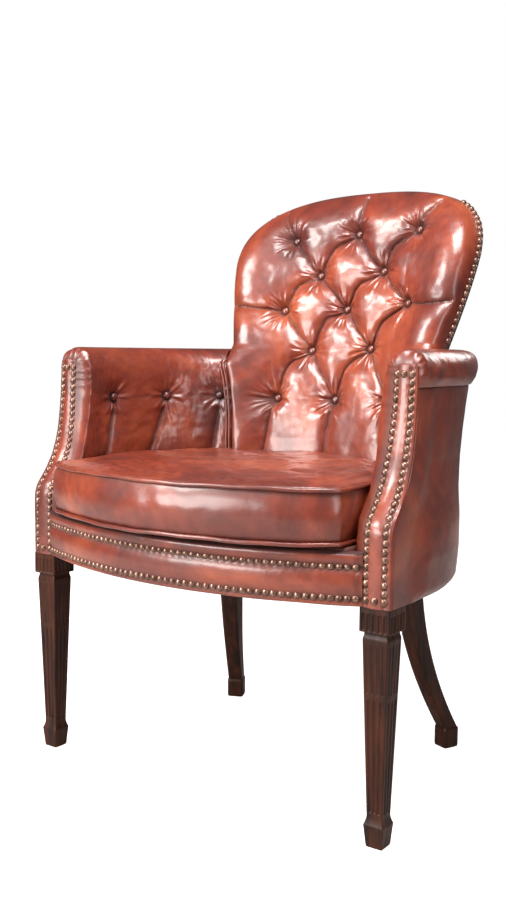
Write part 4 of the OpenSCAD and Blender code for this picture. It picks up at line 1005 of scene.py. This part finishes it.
# Nails
# Antiqued brass domes driven close together along the border, the facings and the back's edges.
brass, t, shader = new_material("antique_brass")
place = add(t, "ShaderNodeTexCoord")
spots = add(t, "ShaderNodeTexNoise", [("Vector", place, "Object")], Scale=160, Detail=4)
mottle(t, shader, spots, ((0.32, (0.085, 0.043, 0.028)), (0.66, (0.285, 0.165, 0.125))), 0.3, 0.0004,
       (0.44, 0.25))
assign(shader, Metallic=0.75)
dome = turned([(0.05, 3.6), (1.4, 3.45), (2.8, 2.9), (4.1, 1.95), (5.0, 1.0), (5.4, 0.15), (5.35, -0.1),
               (4.6, -0.2), (0.8, -0.2), (0.8, -11.5), (0.05, -12)], 18)
BORDER_NAILS = 26                       # on each side of the middle one
border_pitch = arc_to(285.3) / BORDER_NAILS


def border_place(i, out, z):
    """The border's nail i from the middle."""
    s = i * border_pitch
    x = 2 * s - arc_to(s)
    return (x, float(bow_y(x)) - out, z), (2 * BOW / BOW_HALF ** 2 * x, -1, 0)


def slope_at(z):
    return float(sweep_y(z + 1) - sweep_y(z - 1)) / 2


def facing_place(side, d, z, proud=0.0):
    """A nail on an arm's facing, d in from the arm's outer side."""
    return (side * (HALF_W - d * float(taper(z))), float(sweep_y(z)) - proud, z), (0, -1, slope_at(z))


def arch_point(degrees):
    """A point on the back's arched outline."""
    c, s = math.cos(math.radians(degrees)), math.sin(math.radians(degrees))
    r = ((c / SHOULDER_W) ** ARCH_N + (s / ARCH_H) ** ARCH_N) ** (-1 / ARCH_N)
    return np.array([r * c, SHOULDER_Z + r * s])


def edge_place(side, x, z, out_x, out_z):
    """A nail on the back's edge, which faces along out_x and out_z and a little forwards."""
    place = on_back(x, z, 15.5) + np.array([1.6 * out_x, 0, 1.6 * out_z])
    return place * (side, 1, 1), (side * out_x, -0.6, out_z)


climb = [LOW_NAIL]
while climb[-1] + NAIL_PITCH / math.hypot(1, slope_at(climb[-1])) <= 640:
    climb.append(climb[-1] + NAIL_PITCH / math.hypot(1, slope_at(climb[-1])))
rows_of = {}
for row, out, z in (("lower", 3, LOW_NAIL), ("upper", 3.2, HIGH_NAIL)):
    rows_of[row + "_border_nails_left"] = [border_place(i, out, z) for i in range(-BORDER_NAILS, 0)]
    rows_of[row + "_border_nails_right"] = [border_place(i, out, z) for i in range(BORDER_NAILS + 1)]
for side, name in SIDES[::-1]:
    rows_of["outer_facing_nails_" + name] = [facing_place(side, OUTER_D, z) for z in climb] \
        + [facing_place(side, (OUTER_D + INNER_D) / 2, z, 2.6) for z in (climb[0], climb[-1])]
    rows_of["inner_facing_nails_" + name] = [facing_place(side, INNER_D, z) for z in climb]
    row = [edge_place(side, back_w(z), z, 1, 0) for z in SHOULDER_Z - NAIL_PITCH * np.arange(14)]
    angle = math.degrees(NAIL_PITCH / SHOULDER_W)
    while angle <= 28:
        (x, z), (x1, z1) = arch_point(angle), arch_point(angle + 1)
        step = math.hypot(x1 - x, z1 - z)
        row.append(edge_place(side, x, z, (z1 - z) / step, (x - x1) / step))
        angle += NAIL_PITCH / step
    rows_of["back_nails_" + name] = row
for i, (node, places) in enumerate(rows_of.items()):
    scattered(node.replace("nails", "nail_heads"), places, dome, brass, "nails", node, 20 + i, 0.06)

# Seat cushion
# Loose cushion: foam in a boxed hide cover, crowned and creased, sewn with piping at both edges.
CUT_A = float(tub_a(CUSHION_Z + 76.2)) - ARM_D - GAP
CUT_B = float(tub_b(CUSHION_Z)) - BACK_D - GAP
CUT_Y = float(turn_y(CUSHION_Z))
TOP_Z, RIM = CUSHION_Z + 73, 96
nt, nx = ((170, 170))
cx = np.linspace(-1, 1, nx + 2)[1:-1]
cx = np.sign(cx) * (1 - (1 - np.abs(cx)) ** 1.35)


def cut(e):
    """The cushion's outline, e in from the edge: round the back, then across the bowed front."""
    rear = round_back(CUT_A - e, CUT_B - e, np.linspace(0, np.pi, nt)) + (0, CUT_Y)
    front = np.stack([cx * (CUT_A - e), -26 + e - 72 * (1 - cx ** 2) + 10 * np.abs(cx) ** 30], -1)
    return np.concatenate([rear, front])


def crown(e):
    """The stuffing's rise from the seam to the flat middle."""
    return 13 * (1 - (1 - clamp(e / RIM)) ** 2)


# rings of the cover as distance in from the edge, height, shrink to the middle, and zone: 0 for the
# bottom, 1 to 2 up the boxing, 3 for the top
rings = [(RIM, CUSHION_Z - 0.5, f, 0) for f in (0.02, 0.35, 0.7)]
rings += [(e, CUSHION_Z - 0.5, 1, 0) for e in (RIM, 60, 30, 14, 7.5)]
rings += [(5.6 - 4.4 * np.sin(np.pi * k) ** 0.7, CUSHION_Z + 2.2 + 68.6 * k, 1, 1 + k)
          for k in np.linspace(0, 1, 26)]
rings += [(e, TOP_Z + 1.2 + crown(e), 1, 3)
          for e in (6.5, 7.5, 9, 11, 13.5, *np.linspace(17, RIM, 34))]
rings += [(RIM, TOP_Z + 1.2 + crown(RIM), f, 3) for f in np.linspace(0.96, 0.02, 42)]
middle = np.array([0.0, 105.0])
P = np.array([np.column_stack([middle + (cut(e) - middle) * f, np.full(nt + nx, z)])
              for e, z, f, _ in rings])
zone = np.array([r[3] for r in rings])[:, None] + 0 * P[..., 0]
on_top = smooth((zone - 2.5) * 2)
boxing = (zone >= 1) * (zone <= 2)
side_k = clamp(zone - 1)
around = lengths_along(cut(3))
outward = P[..., :2] - middle
outward /= np.linalg.norm(outward, axis=-1, keepdims=True) + 1e-9
swell = 4.0 * fbm(P * (1, 1, 0.3), 0.007, 21.0) + 1.6 * fbm(P * (0.8, 1.6, 1), 0.02, 23.0, 4)
creases = clamp(1 - np.abs(fbm(P * (0.6, 1.5, 1), 0.011, 29.0)) * 6) ** 6
seam = cut(3)[::4]
from_seam = np.array([np.min(np.linalg.norm(ring[:, None, :2] - seam, axis=-1), axis=1) for ring in P])
stitch = np.sin(around / 6.1 + 2.2 * np.sin(around / 31)) * (0.5 + 0.5 * np.sin(around / 47 + 1) ** 2)
P[..., 2] += on_top * smooth(from_seam / 26) * (swell - 1.6 * creases)
P[..., 2] += 0.9 * on_top * np.exp(-from_seam / 14) * smooth(from_seam / 4) * stitch
front_bow = np.concatenate([np.zeros(nt), 1 - np.abs(cx) ** 6])
wave = 0.5 * np.sin(around / 8.3 + 1.7 * np.sin(around / 40) + 2.4 * side_k)
wave = wave * (0.4 + 0.6 * np.sin(around / 61) ** 2)
bulging = np.sin(np.pi * side_k) * boxing * (1.3 + 3.4 * front_bow + wave + 1.3 * fbm(P, 0.011, 31.0))
P[..., :2] += outward * bulging[..., None]
# painted shade in the creases on top, along the top's seam line and at the boxing's edges beside the piping
fold_shade = clamp(0.5 * on_top * creases * smooth(from_seam / 30))
fold_shade = fold_shade + 0.55 * np.exp(-np.abs(from_seam - 3) / 3) * on_top
fold_shade = fold_shade + 0.5 * boxing * (np.exp(-side_k * 18) + np.exp(-(1 - side_k) * 18))
obj = grid_piece("cushion_cover", [P], np.clip(fold_shade, 0, 0.8), wrap_j=True)
finish_piece(obj, hide, "leather", "seat_cushion", "cushion_core", "cushion_top_panel",
             "cushion_bottom_panel", "cushion_border")
for z, name in ((TOP_Z, "top"), (CUSHION_Z, "bottom")):
    path = np.column_stack([cut(3.2), np.full(nt + nx, z)])
    path[:, 2] += 0.8 * (0.9 * np.sin(around / 37 + z) + 0.5 * np.sin(around / 13.0))
    obj = grid_piece("cushion_piping_cord_" + name, [tube(path, 3.1, 0.05, 14, True)], None, wrap_i=True,
                     wrap_j=True, flip=True)
    finish_piece(obj, hide_shaded, "piping", "seat_cushion", "cushion_piping_" + name)

# Cushion zip
# A zip along the back of the boxing, where it doesn't show, to take the filling out.
zip_cloth = plain("zip_tape", (0.012, 0.008, 0.006), (0.06, 0.04, 0.03), 300, 0.7)
ROUND_STEPS = 420
t = np.radians(np.linspace(50, 130, ROUND_STEPS))[:, None]
up = np.linspace(-1, 1, 25)
tooth = np.sin(np.arange(ROUND_STEPS) * 1.1)[:, None] * np.where(up < 0, 1, -1) > 0
inset = 0.4 - np.where(np.abs(up) < 0.34, 0.8 * tooth, 0.0)
flat = round_back(CUT_A - inset, CUT_B - inset, t) + (0, CUT_Y)
P = np.dstack([flat, CUSHION_Z + 36 + 6 * up + 0 * inset])
P = np.concatenate([P, (P - (0, 1.2, 0))[:, ::-1]], 1)
obj = grid_piece("cushion_zip_tape", [P], wrap_j=True)
finish_piece(obj, zip_cloth, "zip", "seat_cushion", "cushion_zip")
